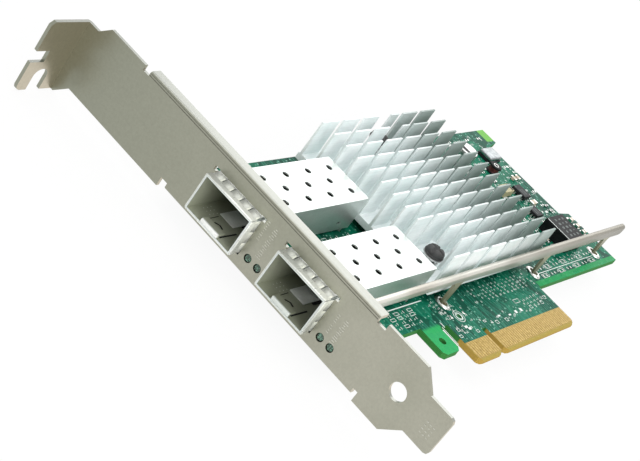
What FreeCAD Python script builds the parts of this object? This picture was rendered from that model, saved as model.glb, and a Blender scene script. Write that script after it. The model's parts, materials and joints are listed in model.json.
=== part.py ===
"""Dual-port network interface card: full-height bracket, short board, finned heat sink.

Every piece is drawn in one bracket datum: X runs from the bracket's outer face along the board, Y runs
from the top of the bracket's tab (so everything below it is negative) and Z runs from the bracket's
solder-side edge towards the component side. The bodies are then placed so that the part's own origin is
the middle of the key notch, at the tip of the edge connector, half way through the board.
"""
import FreeCAD
import Part
import Sketcher
import math
import os

DOC = FreeCAD.newDocument("network_card")
SHEET = DOC.addObject("Spreadsheet::Sheet", "sizes")
NODES = []


class Size:
    """A length tied to the sheet: the text of its expression and the value it has now."""

    def __init__(self, text, value):
        self.text = text
        self.value = float(value)

    def joined(self, other, sign, value):
        text = other.text if isinstance(other, Size) else repr(float(other))
        return Size("(" + self.text + " " + sign + " " + text + ")", value)

    def __add__(self, other):
        return self.joined(other, "+", self.value + number(other))

    def __sub__(self, other):
        return self.joined(other, "-", self.value - number(other))

    def __mul__(self, other):
        return self.joined(other, "*", self.value * number(other))

    def __truediv__(self, other):
        return self.joined(other, "/", self.value / number(other))

    def __neg__(self):
        return Size("(0 - " + self.text + ")", -self.value)


def number(item):
    """The present value of a Size or of a plain number."""
    return item.value if isinstance(item, Size) else float(item)


def words(item):
    """The expression text of a Size or of a plain number."""
    return item.text if isinstance(item, Size) else repr(float(item))


def size(alias, value):
    """Writes one named value on the sheet and returns it as a Size."""
    row = size.row
    size.row = row + 1
    SHEET.set("A%d" % row, alias)
    SHEET.set("B%d" % row, str(value))
    SHEET.setAlias("B%d" % row, alias)
    return Size("sizes." + alias, value)


size.row = 1

# ---------------------------------------------------------------- the driving sizes, in millimetres
sheet_gauge = size("sheet_gauge", 0.9)
bracket_low = size("bracket_low", -120.02)
bracket_wide = size("bracket_wide", 18.42)
tab_reach = size("tab_reach", -11.43)
tab_overhang = size("tab_overhang", 3.45)
tab_setback = size("tab_setback", 2.82)
tongue_near = size("tongue_near", 4.2)
tongue_wide = size("tongue_wide", 10.15)
tongue_tall = size("tongue_tall", 6.92)
tongue_round = size("tongue_round", 1.0)
flange_drop = size("flange_drop", 20.7)
flange_rise = size("flange_rise", 25.02)
flange_deep = size("flange_deep", 3.15)
lip_drop = size("lip_drop", 38.8)
lip_rise = size("lip_rise", 20.32)
lip_set = size("lip_set", 0.8)
lip_deep = size("lip_deep", 1.7)
bracket_hole_rise = size("bracket_hole_rise", 12.62)
bracket_hole_in = size("bracket_hole_in", 5.2)
bracket_hole_bore = size("bracket_hole_bore", 4.2)
screw_slot_x = size("screw_slot_x", -5.93)
screw_slot_wide = size("screw_slot_wide", 4.2)
screw_slot_end = size("screw_slot_end", 0.3)
tab_notch_near = size("tab_notch_near", 4.4)
tab_notch_wide = size("tab_notch_wide", 3.15)
tab_notch_deep = size("tab_notch_deep", 4.13)

board_top = size("board_top", 3.3)
board_thick = size("board_thick", 1.57)
board_setback = size("board_setback", 1.0)
board_end = size("board_end", 48.65)
recess_deep = size("recess_deep", 5.15)
finger_tip = size("finger_tip", -105.7)
board_rise = size("board_rise", 13.1)
board_tall = size("board_tall", 55.4)
ear_tall = size("ear_tall", 5.7)
recess_tall = size("recess_tall", 30.6)
key_x = size("key_x", 59.05)
key_wide = size("key_wide", 1.9)
key_deep = size("key_deep", 7.8)
short_contacts = size("short_contacts", 11)
long_contacts = size("long_contacts", 38)
contact_pitch = size("contact_pitch", 1.0)
contact_wide = size("contact_wide", 0.7)
contact_long = size("contact_long", 4.9)
contact_margin = size("contact_margin", 0.9)
contact_side = size("contact_side", 0.65)
contact_skin = size("contact_skin", 0.05)
key_land = size("key_land", 1.5)
hook_gap = size("hook_gap", 3.4)
hook_wide = size("hook_wide", 7.2)
hook_rise = size("hook_rise", 4.7)
throat_rise = size("throat_rise", 11.7)

port_rise = size("port_rise", 15.0)
port_pitch = size("port_pitch", 23.2)
port_clear = size("port_clear", 0.4)
port_sill = size("port_sill", 0.1)
port_head = size("port_head", 1.0)
cage_reach = size("cage_reach", 3.4)
cage_long = size("cage_long", 46.8)
cage_wide = size("cage_wide", 14.4)
cage_lift = size("cage_lift", 0.6)
cage_tall = size("cage_tall", 9.25)
cage_wall = size("cage_wall", 0.3)
cage_pin_first = size("cage_pin_first", 11.4)
cage_pin_pitch = size("cage_pin_pitch", 10.8)
cage_pin_bore = size("cage_pin_bore", 1.1)
vent_bore = size("vent_bore", 1.8)
vent_pitch = size("vent_pitch", 8.85)
vent_first = size("vent_first", 16.5)
vent_side = size("vent_side", 3.9)
latch_wide = size("latch_wide", 5.4)
latch_long = size("latch_long", 2.7)
latch_rise = size("latch_rise", 0.55)
lance_in = size("lance_in", 7.2)
gasket_skin = size("gasket_skin", 0.15)
gasket_collar = size("gasket_collar", 2.3)
finger_wide = size("finger_wide", 2.3)
roof_finger_pitch = size("roof_finger_pitch", 2.825)
wall_finger_pitch = size("wall_finger_pitch", 2.9)

rail_drop = size("rail_drop", 4.1)
rail_flange = size("rail_flange", 1.4)
rail_gauge = size("rail_gauge", 0.8)
rail_rise = size("rail_rise", 9.2)
rail_root = size("rail_root", 2.7)
rail_web = size("rail_web", 4.2)
rail_over = size("rail_over", 0.75)
leg_first_in = size("leg_first_in", 96.65)
leg_second_in = size("leg_second_in", 47.55)
leg_third_in = size("leg_third_in", 8.45)
leg_pin = size("leg_pin", 0.9)
leg_flare = size("leg_flare", 3.2)
leg_pin_bore = size("leg_pin_bore", 1.3)

sink_gap = size("sink_gap", 2.8)
sink_drop = size("sink_drop", 1.9)
sink_lift = size("sink_lift", 1.9)
sink_plate = size("sink_plate", 1.8)
fin_tall = size("fin_tall", 10.0)
fin_thick = size("fin_thick", 1.3)
fin_tip = size("fin_tip", 0.9)
fin_count = size("fin_count", 12)
sink_rail_gap = size("sink_rail_gap", 2.445)
sink_brim = size("sink_brim", 0.6)
bay_long = size("bay_long", 7.4)
bay_gap = size("bay_gap", 2.0)
bay_count = size("bay_count", 6)
pin_low_in = size("pin_low_in", 5.9)
pin_low_rise = size("pin_low_rise", 6.755)
pin_high_in = size("pin_high_in", 28.8)
pin_high_drop = size("pin_high_drop", 2.9)
pin_head = size("pin_head", 5.2)
pin_shaft = size("pin_shaft", 2.8)
pin_clear = size("pin_clear", 0.4)
pin_rise = size("pin_rise", 5.6)
pin_cap = size("pin_cap", 1.7)
pin_relief = size("pin_relief", 7.4)
spring_wire = size("spring_wire", 0.28)

chip_side = size("chip_side", 25.0)
chip_in = size("chip_in", 21.8)
chip_carrier = size("chip_carrier", 0.9)
chip_lid = size("chip_lid", 21.0)
pad_skin = size("pad_skin", 0.25)

lamp_bore = size("lamp_bore", 2.0)
lamp_clear = size("lamp_clear", 0.4)
lamp_rise = size("lamp_rise", 1.3)
lamp_near = size("lamp_near", 9.9)
lamp_pitch = size("lamp_pitch", 3.05)

# Places that follow from them.
tab_solder = -tab_overhang
tab_component = bracket_wide - tab_setback
flange_top = -flange_drop
flange_low = bracket_low + flange_rise
lip_top = -lip_drop
lip_low = bracket_low + lip_rise
tongue_far = tongue_near + tongue_wide
taper_low = bracket_low + tongue_tall
bracket_hole_y = bracket_low + bracket_hole_rise
bracket_hole_z = tongue_near + bracket_hole_in
tab_notch_far = tab_notch_near + tab_notch_wide
tab_notch_floor = tab_reach + tab_notch_deep
board_rear = sheet_gauge + board_setback
board_low = finger_tip + board_rise
board_high = board_low + board_tall
ear_low = board_high - ear_tall
recess_low = ear_low - recess_tall
short_first = key_x - key_land - contact_pitch * (short_contacts - 1)
long_last = key_x + key_land + contact_pitch * (long_contacts - 1)
finger_near = short_first - contact_side
finger_far = long_last + contact_side
hook_far = finger_near - hook_gap
hook_near = hook_far - hook_wide
hook_low = finger_tip + hook_rise
hook_throat = finger_tip + throat_rise
contact_high = finger_tip + contact_margin + contact_long
cage_mouth = -cage_reach
cage_rear = cage_mouth + cage_long
cage_floor = board_top + cage_lift
cage_top = cage_floor + cage_tall
port_low_y = board_low + port_rise
port_top_y = port_low_y + port_pitch
port_wide = cage_wide + port_clear * 2
port_base = board_top + port_sill
port_top = cage_top + port_head
sink_near = cage_rear + sink_gap
sink_far = sink_near + bay_long * bay_count + bay_gap * (bay_count - 1)
board_far = sink_far + board_end
board_recess = board_far - recess_deep
rail_face = board_low + rail_drop
rail_crest = board_top + rail_rise
rail_end = board_far + rail_over
leg_first = board_far - leg_first_in
leg_second = board_far - leg_second_in
leg_third = board_far - leg_third_in
sink_high = board_high - sink_drop
sink_low = rail_face + sink_rail_gap
fin_run = sink_high - sink_low - fin_thick / 2 - sink_brim
fin_pitch = fin_run / (fin_count - 1)
sink_base = board_top + sink_lift
sink_floor = sink_base + sink_plate
sink_crest = sink_floor + fin_tall
pin_low_x = sink_near + pin_low_in
pin_low_y = sink_low + pin_low_rise
pin_high_x = sink_near + pin_high_in
pin_high_y = sink_high - pin_high_drop
pin_top = sink_floor + pin_rise
chip_x = sink_near + chip_in
chip_y = (sink_high + sink_low) / 2
lamp_height = board_top + lamp_rise

# The placing of the bracket datum in the part's own frame.
datum_x = -key_x
datum_y = -finger_tip
datum_z = board_thick / 2 - board_top
board_under = board_top - board_thick


# ---------------------------------------------------------------- helpers
def tie(item, name, value):
    """Binds one property of an object to an expression."""
    item.setExpression(name, words(value))


def seat(item, x, y, z):
    """Places an object at a point of the bracket datum."""
    tie(item, "Placement.Base.x", datum_x + x)
    tie(item, "Placement.Base.y", datum_y + y)
    tie(item, "Placement.Base.z", datum_z + z)


def new_body(name, keep=True):
    """A body drawn in the bracket datum; kept bodies become sub-parts."""
    body = DOC.addObject("PartDesign::Body", name)
    body.AllowCompound = True
    seat(body, 0, 0, 0)
    if keep:
        NODES.append(body)
    return body


def new_sketch(body, name, role, height=0):
    """A sketch on one of the body's own origin planes, lifted by height along the plane's normal."""
    sketch = body.newObject("Sketcher::SketchObject", name)
    plane = [item for item in body.Origin.OriginFeatures if item.Role == role][0]
    sketch.AttachmentSupport = [(plane, "")]
    sketch.MapMode = "FlatFace"
    tie(sketch, "AttachmentOffset.Base.z", height)
    return sketch


def fix_point(sketch, edge, corner, across, along):
    """Ties one point of a sketch edge to its two coordinates."""
    for kind, value in (("DistanceX", across), ("DistanceY", along)):
        if abs(number(value)) < 1e-9:
            lock = "PointOnObject"
            axis = -2 if kind == "DistanceX" else -1
            sketch.addConstraint(Sketcher.Constraint(lock, edge, corner, axis))
            continue
        index = sketch.addConstraint(Sketcher.Constraint(kind, -1, 1, edge, corner, number(value)))
        sketch.setExpression("Constraints[%d]" % index, words(value))


def polygon(sketch, corners):
    """A closed outline through the corners, each tied to its coordinates."""
    first = sketch.GeometryCount
    count = len(corners)
    points = [FreeCAD.Vector(number(a), number(b), 0) for a, b in corners]
    for place in range(count):
        sketch.addGeometry(Part.LineSegment(points[place], points[(place + 1) % count]))
    for place in range(count):
        nxt = first + (place + 1) % count
        sketch.addConstraint(Sketcher.Constraint("Coincident", first + place, 2, nxt, 1))
    for place, (across, along) in enumerate(corners):
        fix_point(sketch, first + place, 1, across, along)


def rectangle(sketch, low_a, high_a, low_b, high_b):
    """A rectangle between two coordinates each way."""
    polygon(sketch, [(low_a, low_b), (high_a, low_b), (high_a, high_b), (low_a, high_b)])


def circle(sketch, across, along, bore):
    """A circle by its centre and its diameter."""
    centre = FreeCAD.Vector(number(across), number(along), 0)
    edge = sketch.addGeometry(Part.Circle(centre, FreeCAD.Vector(0, 0, 1), number(bore) / 2))
    fix_point(sketch, edge, 3, across, along)
    index = sketch.addConstraint(Sketcher.Constraint("Diameter", edge, number(bore)))
    sketch.setExpression("Constraints[%d]" % index, words(bore))


def facet_hole(body, name, foot, bore, tall, sides):
    """A small hole with a few flats, for holes that repeat, from its foot upwards."""
    hole = body.newObject("PartDesign::SubtractivePrism", name)
    hole.Polygon = sides
    tie(hole, "Circumradius", bore / 2)
    tie(hole, "Height", tall)
    tie(hole, "Placement.Base.x", foot[0])
    tie(hole, "Placement.Base.y", foot[1])
    tie(hole, "Placement.Base.z", foot[2])
    return hole


def hole_row(body, name, foot, bore, tall, sides, pitch, count):
    """A row of such holes along X; it must remove something."""
    DOC.recompute()
    before = body.Shape.Volume
    hole = facet_hole(body, name, foot, bore, tall, sides)
    DOC.recompute()
    if count > 1:
        row = body.newObject("PartDesign::LinearPattern", name + "_row")
        row.Originals = [hole]
        line = [item for item in body.Origin.OriginFeatures if item.Role == "X_Axis"][0]
        row.Direction = (line, [""])
        tie(row, "Length", pitch * (count - 1))
        row.Occurrences = count
        body.Tip = row
        DOC.recompute()
    if body.Shape.Volume > before - 1e-4 * count:
        raise RuntimeError(name + " removes nothing")


def pad(body, sketch, length, name, flip=False):
    """A pad along the sketch's normal, or against it."""
    feature = body.newObject("PartDesign::Pad", name)
    feature.Profile = sketch
    feature.Reversed = flip
    tie(feature, "Length", length)
    return feature


def pocket(body, sketch, length, name, flip=False):
    """A pocket against the sketch's normal, or along it when flipped; it must remove something."""
    DOC.recompute()
    before = body.Shape.Volume
    feature = body.newObject("PartDesign::Pocket", name)
    feature.Profile = sketch
    feature.Reversed = flip
    tie(feature, "Length", length)
    DOC.recompute()
    if body.Shape.Volume > before - 1e-4:
        raise RuntimeError(name + " removes nothing")
    return feature


def line_pattern(body, sketch, axis, features, length, count, name, flip=False):
    """A row of the features along one axis of their sketch."""
    row = body.newObject("PartDesign::LinearPattern", name)
    row.Originals = features
    row.Direction = (sketch, [axis])
    row.Reversed = flip
    tie(row, "Length", length)
    row.setExpression("Occurrences", words(count))
    body.Tip = row
    return row


def edges_where(shape, test):
    """Names of a shape's edges that pass a test on their bounding box."""
    return ["Edge%d" % (place + 1) for place, edge in enumerate(shape.Edges) if test(edge.BoundBox)]


def round_edges(body, names, radius, label):
    """Rounds some edges of the body's last feature."""
    base = body.Tip
    fillet = body.newObject("PartDesign::Fillet", label)
    fillet.Base = (base, names)
    tie(fillet, "Radius", radius)
    DOC.recompute()
    return fillet


def box(name, low, span, keep=True):
    """A plain block by its low corner and its three sizes."""
    block = DOC.addObject("Part::Box", name)
    tie(block, "Length", span[0])
    tie(block, "Width", span[1])
    tie(block, "Height", span[2])
    seat(block, low[0], low[1], low[2])
    if keep:
        NODES.append(block)
    return block


def rod(name, foot, bore, tall):
    """A plain upright cylinder by the centre of its foot."""
    item = DOC.addObject("Part::Cylinder", name)
    tie(item, "Radius", bore / 2 if isinstance(bore, Size) else bore / 2.0)
    tie(item, "Height", tall)
    seat(item, foot[0], foot[1], foot[2])
    return item


def group(name, members):
    """Several separate solids that make one sub-part."""
    item = DOC.addObject("Part::Compound", name)
    item.Links = members
    NODES.append(item)
    return item


def fused(name, members, keep=True):
    """One solid from overlapping ones."""
    item = DOC.addObject("Part::MultiFuse", name)
    item.Shapes = members
    item.Refine = True
    if keep:
        NODES.append(item)
    return item


def less(name, base, tool, keep=True):
    """A solid with another taken away."""
    item = DOC.addObject("Part::Cut", name)
    item.Base = base
    item.Tool = tool
    if keep:
        NODES.append(item)
    return item


# ---------------------------------------------------------------- bracket
def make_bracket():
    """The full-height bracket: face, folded tab, side flange, lip, port and lamp holes."""
    body = new_body("mounting_bracket")
    wide = bracket_wide
    near = lip_set
    face = new_sketch(body, "bracket_face", "YZ_Plane")
    corners = [
        (0, tab_solder), (0, tab_component), (-4.1, tab_component), (-6.95, wide), (flange_top + 2.0, wide),
        (flange_top + 2.0, wide - 1.3), (flange_top, wide - 1.3), (flange_top, wide),
        (flange_low, wide), (flange_low, wide - 1.6), (flange_low - 2.4, wide - 1.6),
        (flange_low - 2.4, wide), (taper_low + 4.1, wide), (taper_low, tongue_far),
        (bracket_low + tongue_round, tongue_far), (bracket_low + tongue_round * 0.3, tongue_far - tongue_round * 0.3),
        (bracket_low, tongue_far - tongue_round), (bracket_low, tongue_near + tongue_round),
        (bracket_low + tongue_round * 0.3, tongue_near + tongue_round * 0.3),
        (bracket_low + tongue_round, tongue_near), (taper_low, tongue_near),
        (taper_low + tongue_near, 0), (lip_low - 1.3, 0), (lip_low - 1.3, 2.4),
        (lip_low, 2.4), (lip_low, near), (lip_top, near), (lip_top, 2.35), (lip_top + 2.0, 2.35),
        (lip_top + 2.0, 0), (-5.1, 0), (-1.65, tab_solder),
    ]
    polygon(face, corners)
    pad(body, face, sheet_gauge, "face_plate")
    tab = new_sketch(body, "tab_outline", "XZ_Plane")
    polygon(tab, [
        (sheet_gauge, tab_solder), (sheet_gauge, tab_component), (tab_reach + 1.0, tab_component),
        (tab_reach, tab_component - 1.0), (tab_reach, tab_notch_far), (tab_notch_floor, tab_notch_far),
        (tab_notch_floor, tab_notch_near), (tab_reach, tab_notch_near), (tab_reach, tab_solder + 1.2),
        (tab_reach + 0.4, tab_solder + 0.4), (tab_reach + 1.2, tab_solder),
    ])
    pad(body, tab, sheet_gauge, "tab_plate")
    flange = new_sketch(body, "flange_outline", "YZ_Plane")
    rectangle(flange, flange_low, flange_top, wide - sheet_gauge, wide)
    pad(body, flange, flange_deep, "side_flange")
    lip = new_sketch(body, "lip_outline", "YZ_Plane")
    rectangle(lip, lip_low, lip_top, near, near + sheet_gauge)
    pad(body, lip, lip_deep, "solder_lip")
    DOC.recompute()
    gauge = number(sheet_gauge)
    solid = body.Tip.Shape
    top = number(wide)

    def outer_fold(b):
        flat = b.XLength < 1e-6 and b.ZLength < 1e-6 and b.YLength > 20
        return flat and abs(b.XMin) < 1e-6 and (abs(b.ZMin - top) < 1e-6 or abs(b.ZMin - number(near)) < 1e-6)

    def tab_fold(b):
        flat = b.XLength < 1e-6 and b.YLength < 1e-6 and b.ZLength > 10
        return flat and abs(b.XMin - gauge) < 1e-6 and abs(b.YMax) < 1e-6

    folds = edges_where(solid, lambda b: outer_fold(b) or tab_fold(b))
    round_edges(body, folds, sheet_gauge * 0.88, "folds")

    slot = new_sketch(body, "screw_slot", "XZ_Plane")
    half = screw_slot_wide / 2
    rectangle(slot, screw_slot_x - half, screw_slot_x + half, tab_solder - 1.0, screw_slot_end)
    pocket(body, slot, sheet_gauge * 2, "screw_slot_cut", flip=True)
    arc = new_sketch(body, "screw_slot_round", "XZ_Plane")
    circle(arc, screw_slot_x, screw_slot_end, screw_slot_wide)
    pocket(body, arc, sheet_gauge * 2, "screw_slot_end_cut", flip=True)

    holes = new_sketch(body, "bracket_holes", "YZ_Plane")
    circle(holes, bracket_hole_y, bracket_hole_z, bracket_hole_bore)
    for centre in (port_top_y, port_low_y):
        half = port_wide / 2
        ear = 0.8
        top_edge = port_top
        polygon(holes, [
            (centre - half, port_base), (centre + half, port_base), (centre + half, top_edge - ear),
            (centre + half + ear, top_edge - ear), (centre + half + ear, top_edge + 0.2),
            (centre + half - ear, top_edge + 0.2), (centre + half - ear, top_edge),
            (centre - half + ear, top_edge), (centre - half + ear, top_edge + 0.2),
            (centre - half - ear, top_edge + 0.2), (centre - half - ear, top_edge - ear),
            (centre - half, top_edge - ear),
        ])
        circle(holes, centre - lamp_near, lamp_height, lamp_bore)
        circle(holes, centre - lamp_near - lamp_pitch, lamp_height, lamp_bore)
    pocket(body, holes, sheet_gauge, "port_and_lamp_holes", flip=True)


# ---------------------------------------------------------------- board and edge contacts
def make_board():
    """The printed board with its edge connector, key notch, hook tab and drilled holes."""
    body = new_body("circuit_board")
    outline = new_sketch(body, "board_outline", "XY_Plane", board_under)
    half = key_wide / 2
    bevel = 1.3
    polygon(outline, [
        (board_rear, board_high), (board_far, board_high), (board_far, ear_low),
        (board_recess, ear_low - 1.0), (board_recess, recess_low + 1.0), (board_far, recess_low),
        (board_far, board_low), (finger_far, board_low), (finger_far, finger_tip + bevel),
        (finger_far - bevel, finger_tip), (key_x + half + bevel, finger_tip),
        (key_x + half, finger_tip + bevel), (key_x + half, finger_tip + key_deep),
        (key_x - half, finger_tip + key_deep), (key_x - half, finger_tip + bevel),
        (key_x - half - bevel, finger_tip), (finger_near + bevel, finger_tip),
        (finger_near, finger_tip + bevel), (finger_near, hook_throat), (hook_far, hook_throat),
        (hook_far, hook_low + 1.0), (hook_far - 1.0, hook_low), (hook_near + 1.0, hook_low),
        (hook_near, hook_low + 1.0), (hook_near, board_low), (board_rear, board_low),
    ])
    pad(body, outline, board_thick, "board_plate")
    DOC.recompute()

    def tip_edge(b):
        return abs(b.YMin - number(finger_tip)) < 1e-6 and b.YLength < 1e-6 and b.XLength > 5

    tips = edges_where(body.Tip.Shape, tip_edge)
    plate = body.Tip
    bevels = body.newObject("PartDesign::Chamfer", "finger_bevel")
    bevels.Base = (plate, tips)
    tie(bevels, "Size", board_thick * 0.28)
    DOC.recompute()
    holes = new_sketch(body, "board_holes", "XY_Plane", board_under)
    circle(holes, pin_low_x, pin_low_y, pin_shaft + pin_clear)
    circle(holes, pin_high_x, pin_high_y, pin_shaft + pin_clear)
    circle(holes, (hook_near + hook_far) / 2, hook_low + 3.6, 2.0)
    circle(holes, finger_near + 7.2, board_low - 0.3, 1.6)
    pocket(body, holes, board_thick, "drilled_holes", flip=True)
    low = board_under - 0.1
    tall = board_thick + 0.2
    for place, across in enumerate((leg_first, leg_second, leg_third)):
        foot = (across, rail_face + rail_gauge / 2, low)
        hole_row(body, "leg_hole_%d" % place, foot, leg_pin_bore, tall, 8, 0, 1)
    for place, centre in enumerate((port_top_y, port_low_y)):
        for side in (-1, 1):
            foot = (cage_mouth + cage_pin_first, centre + (cage_wide - cage_wall) / 2 * side, low)
            name = "cage_hole_%d_%d" % (place, side + 1)
            hole_row(body, name, foot, cage_pin_bore, tall, 8, cage_pin_pitch, 4)


def make_contacts(name, height, grow_up):
    """The gold contacts of one side: eleven before the key and thirty-eight after it."""
    body = new_body(name)
    low = finger_tip + contact_margin
    half = contact_wide / 2
    for label, first, count in (("short", short_first, short_contacts),
                                ("long", key_x + key_land, long_contacts)):
        sketch = new_sketch(body, name + "_" + label, "XY_Plane", height)
        rectangle(sketch, first - half, first + half, low, contact_high)
        strip = pad(body, sketch, contact_skin, name + "_" + label + "_strip", flip=not grow_up)
        DOC.recompute()
        line_pattern(body, sketch, "H_Axis", [strip], contact_pitch * (count - 1), count,
                     name + "_" + label + "_row")
        DOC.recompute()


# ---------------------------------------------------------------- stiffener rail
def make_rail():
    """The angle rail along the board with three tapered legs soldered into it."""
    body = new_body("stiffener_rail")
    web = new_sketch(body, "rail_web_outline", "XZ_Plane", -rail_face - rail_gauge)
    corners = [(sheet_gauge, rail_crest), (sheet_gauge, rail_crest - rail_root), (30.0, rail_crest - rail_web + 0.4)]
    web_low = rail_crest - rail_web
    for centre in (leg_first, leg_second, leg_third):
        corners += [
            (centre - leg_flare, web_low), (centre - leg_flare * 0.7, web_low - 0.6), (centre - 2.2, board_top + 2.2),
            (centre - 1.5, board_top), (centre - leg_pin / 2, board_top),
            (centre - leg_pin / 2, board_under - 0.7), (centre + leg_pin / 2, board_under - 0.7),
            (centre + leg_pin / 2, board_top), (centre + 1.5, board_top), (centre + 2.2, board_top + 2.2),
            (centre + leg_flare * 0.7, web_low - 0.6), (centre + leg_flare, web_low),
        ]
    corners += [(rail_end - 0.9, web_low), (rail_end, web_low + 0.9), (rail_end, rail_crest)]
    polygon(web, corners)
    pad(body, web, rail_gauge, "rail_web")
    top = new_sketch(body, "rail_top_outline", "XZ_Plane", -rail_face - rail_flange)
    rectangle(top, sheet_gauge, rail_end, rail_crest - rail_gauge, rail_crest)
    pad(body, top, rail_flange, "rail_flange")
    DOC.recompute()

    def fold(b):
        level = abs(b.ZMin - number(rail_crest)) < 1e-6 and b.ZLength < 1e-6
        return level and b.XLength > 50 and abs(b.YMin - number(rail_face)) < 1e-6 and b.YLength < 1e-6

    round_edges(body, edges_where(body.Tip.Shape, fold), rail_gauge * 0.87, "rail_fold")


def make_rail_solder():
    """The three mounds of solder around the rail's pins."""
    mounds = []
    for place, across in enumerate((leg_first, leg_second, leg_third)):
        mound = new_body("solder_mound_%d" % place, keep=False)
        rows = []
        for rise, wide, long in ((0, 1.5, 2.25), (0.42, 0.95, 1.55)):
            ring = new_sketch(mound, "solder_ring_%d_%d" % (place, len(rows)), "XY_Plane", board_top + rise)
            turns = [2 * math.pi * (step + 0.5) / 10 for step in range(10)]
            middle = rail_face + rail_gauge / 2
            polygon(ring, [(across + wide * math.cos(a), middle + long * math.sin(a)) for a in turns])
            rows.append(ring)
        skin = mound.newObject("PartDesign::AdditiveLoft", "solder_skin_%d" % place)
        skin.Profile = rows[0]
        skin.Sections = rows[1:]
        skin.Ruled = True
        DOC.recompute()
        gap = box("solder_gap_%d" % place, (across - 2.0, rail_face, board_top - 0.1),
                  (4.0, rail_gauge, 2.0), keep=False)
        mounds.append(less("solder_joint_%d" % place, mound, gap, keep=False))
    group("rail_solder_joints", mounds)


# ---------------------------------------------------------------- cages
def make_cage(name, centre):
    """A folded cage: open mouth, vented roof, pins into the board and an open floor at its rear."""
    body = new_body(name)
    half = cage_wide / 2
    low = cage_floor
    shell = new_sketch(body, name + "_outline", "YZ_Plane", cage_mouth)
    rectangle(shell, centre - half, centre + half, low, cage_top)
    pad(body, shell, cage_rear - cage_mouth, name + "_shell")
    inside = new_sketch(body, name + "_inside", "YZ_Plane", cage_mouth)
    wall = cage_wall
    rectangle(inside, centre - half + wall, centre + half - wall, low + wall, cage_top - wall)
    pocket(body, inside, cage_rear - cage_mouth - wall, name + "_hollow", flip=True)
    floor = new_sketch(body, name + "_floor", "XY_Plane", low - 0.1)
    rectangle(floor, cage_rear - 12.9, cage_rear - wall, centre - half + 1.4, centre + half - 1.4)
    pocket(body, floor, wall + 0.2, name + "_floor_gap", flip=True)
    start = cage_mouth + vent_first
    low_cut = cage_top - cage_wall - 0.2
    for side in (-1, 1):
        foot = (start, centre + vent_side * side, low_cut)
        hole_row(body, name + "_vent_%d" % (side + 1), foot, vent_bore, wall + 0.4, 12, vent_pitch, 4)
    foot = (start + vent_pitch * 0.5, centre, low_cut)
    hole_row(body, name + "_vent_middle", foot, vent_bore, wall + 0.4, 12, vent_pitch, 3)
    for side in (-1, 1):
        inner = centre + (half - wall) * side
        outer = centre + half * side
        pins = new_sketch(body, name + "_pins_%d" % (side + 1), "XY_Plane", low)
        for place in range(4):
            across = cage_mouth + cage_pin_first + cage_pin_pitch * place
            rectangle(pins, across - 0.35, across + 0.35, inner, outer)
        pad(body, pins, cage_lift + board_thick + 0.5, name + "_pin_row_%d" % (side + 1), flip=True)
    latch = new_sketch(body, name + "_latch", "XZ_Plane", -centre - latch_wide / 2)
    near = cage_mouth + 0.1
    polygon(latch, [(near, low + wall * 0.5), (near, low + wall), (near + latch_long, low + wall + latch_rise),
                    (near + latch_long + 0.5, low + wall * 0.5)])
    pad(body, latch, latch_wide, name + "_latch_plate")
    lance = new_sketch(body, name + "_lance", "XZ_Plane", -centre + half - wall - 0.1)
    rectangle(lance, cage_rear - lance_in, cage_rear - lance_in + 1.5, low + 2.2, low + 2.8)
    pocket(body, lance, wall + 0.2, name + "_lance_slot", flip=True)


def make_gasket(name, centre):
    """The spring fingers around a cage's mouth, which press on the bracket's opening."""
    half = cage_wide / 2
    skin = gasket_skin
    low = cage_floor
    front = cage_mouth + 0.15
    body = new_body(name)
    band = new_sketch(body, name + "_band", "YZ_Plane", front)
    rectangle(band, centre - half - skin, centre + half + skin, low - skin, cage_top + skin)
    rectangle(band, centre - half, centre + half, low, cage_top)
    pad(body, band, gasket_collar, name + "_collar")
    DOC.recompute()
    crest = 0.62
    start = front + gasket_collar
    wave = [(start - 0.4, 0.0), (start + 0.2, 0.0), (start + 1.2, crest), (start + 2.0, crest),
            (start + 3.2, 0.04)]
    roof = new_sketch(body, name + "_roof_wave", "XZ_Plane", -centre - roof_finger_pitch * 2 - finger_wide / 2)
    above = [(a, cage_top + b) for a, b in wave]
    above += [(a, cage_top + b + skin) for a, b in reversed(wave)]
    polygon(roof, above)
    finger = pad(body, roof, finger_wide, name + "_roof_finger", flip=False)
    DOC.recompute()
    return body, finger, roof


def side_fingers(body, name, centre, side):
    """Three spring fingers on one side wall."""
    half = cage_wide / 2
    skin = gasket_skin
    start = cage_mouth + 0.15 + gasket_collar
    face = centre + half * side
    wave = [(start - 0.4, 0.0), (start + 0.2, 0.0), (start + 1.0, 0.12), (start + 1.9, 0.12),
            (start + 3.0, 0.02)]
    for place in range(3):
        sketch = new_sketch(body, name + "_wall_%d_%d" % (side + 1, place), "XY_Plane",
                            board_top + 1.4 + wall_finger_pitch * place)
        line = [(a, face + b * side) for a, b in wave]
        line += [(a, face + (skin + b) * side) for a, b in reversed(wave)]
        polygon(sketch, line)
        pad(body, sketch, finger_wide, name + "_wall_finger_%d_%d" % (side + 1, place))


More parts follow.
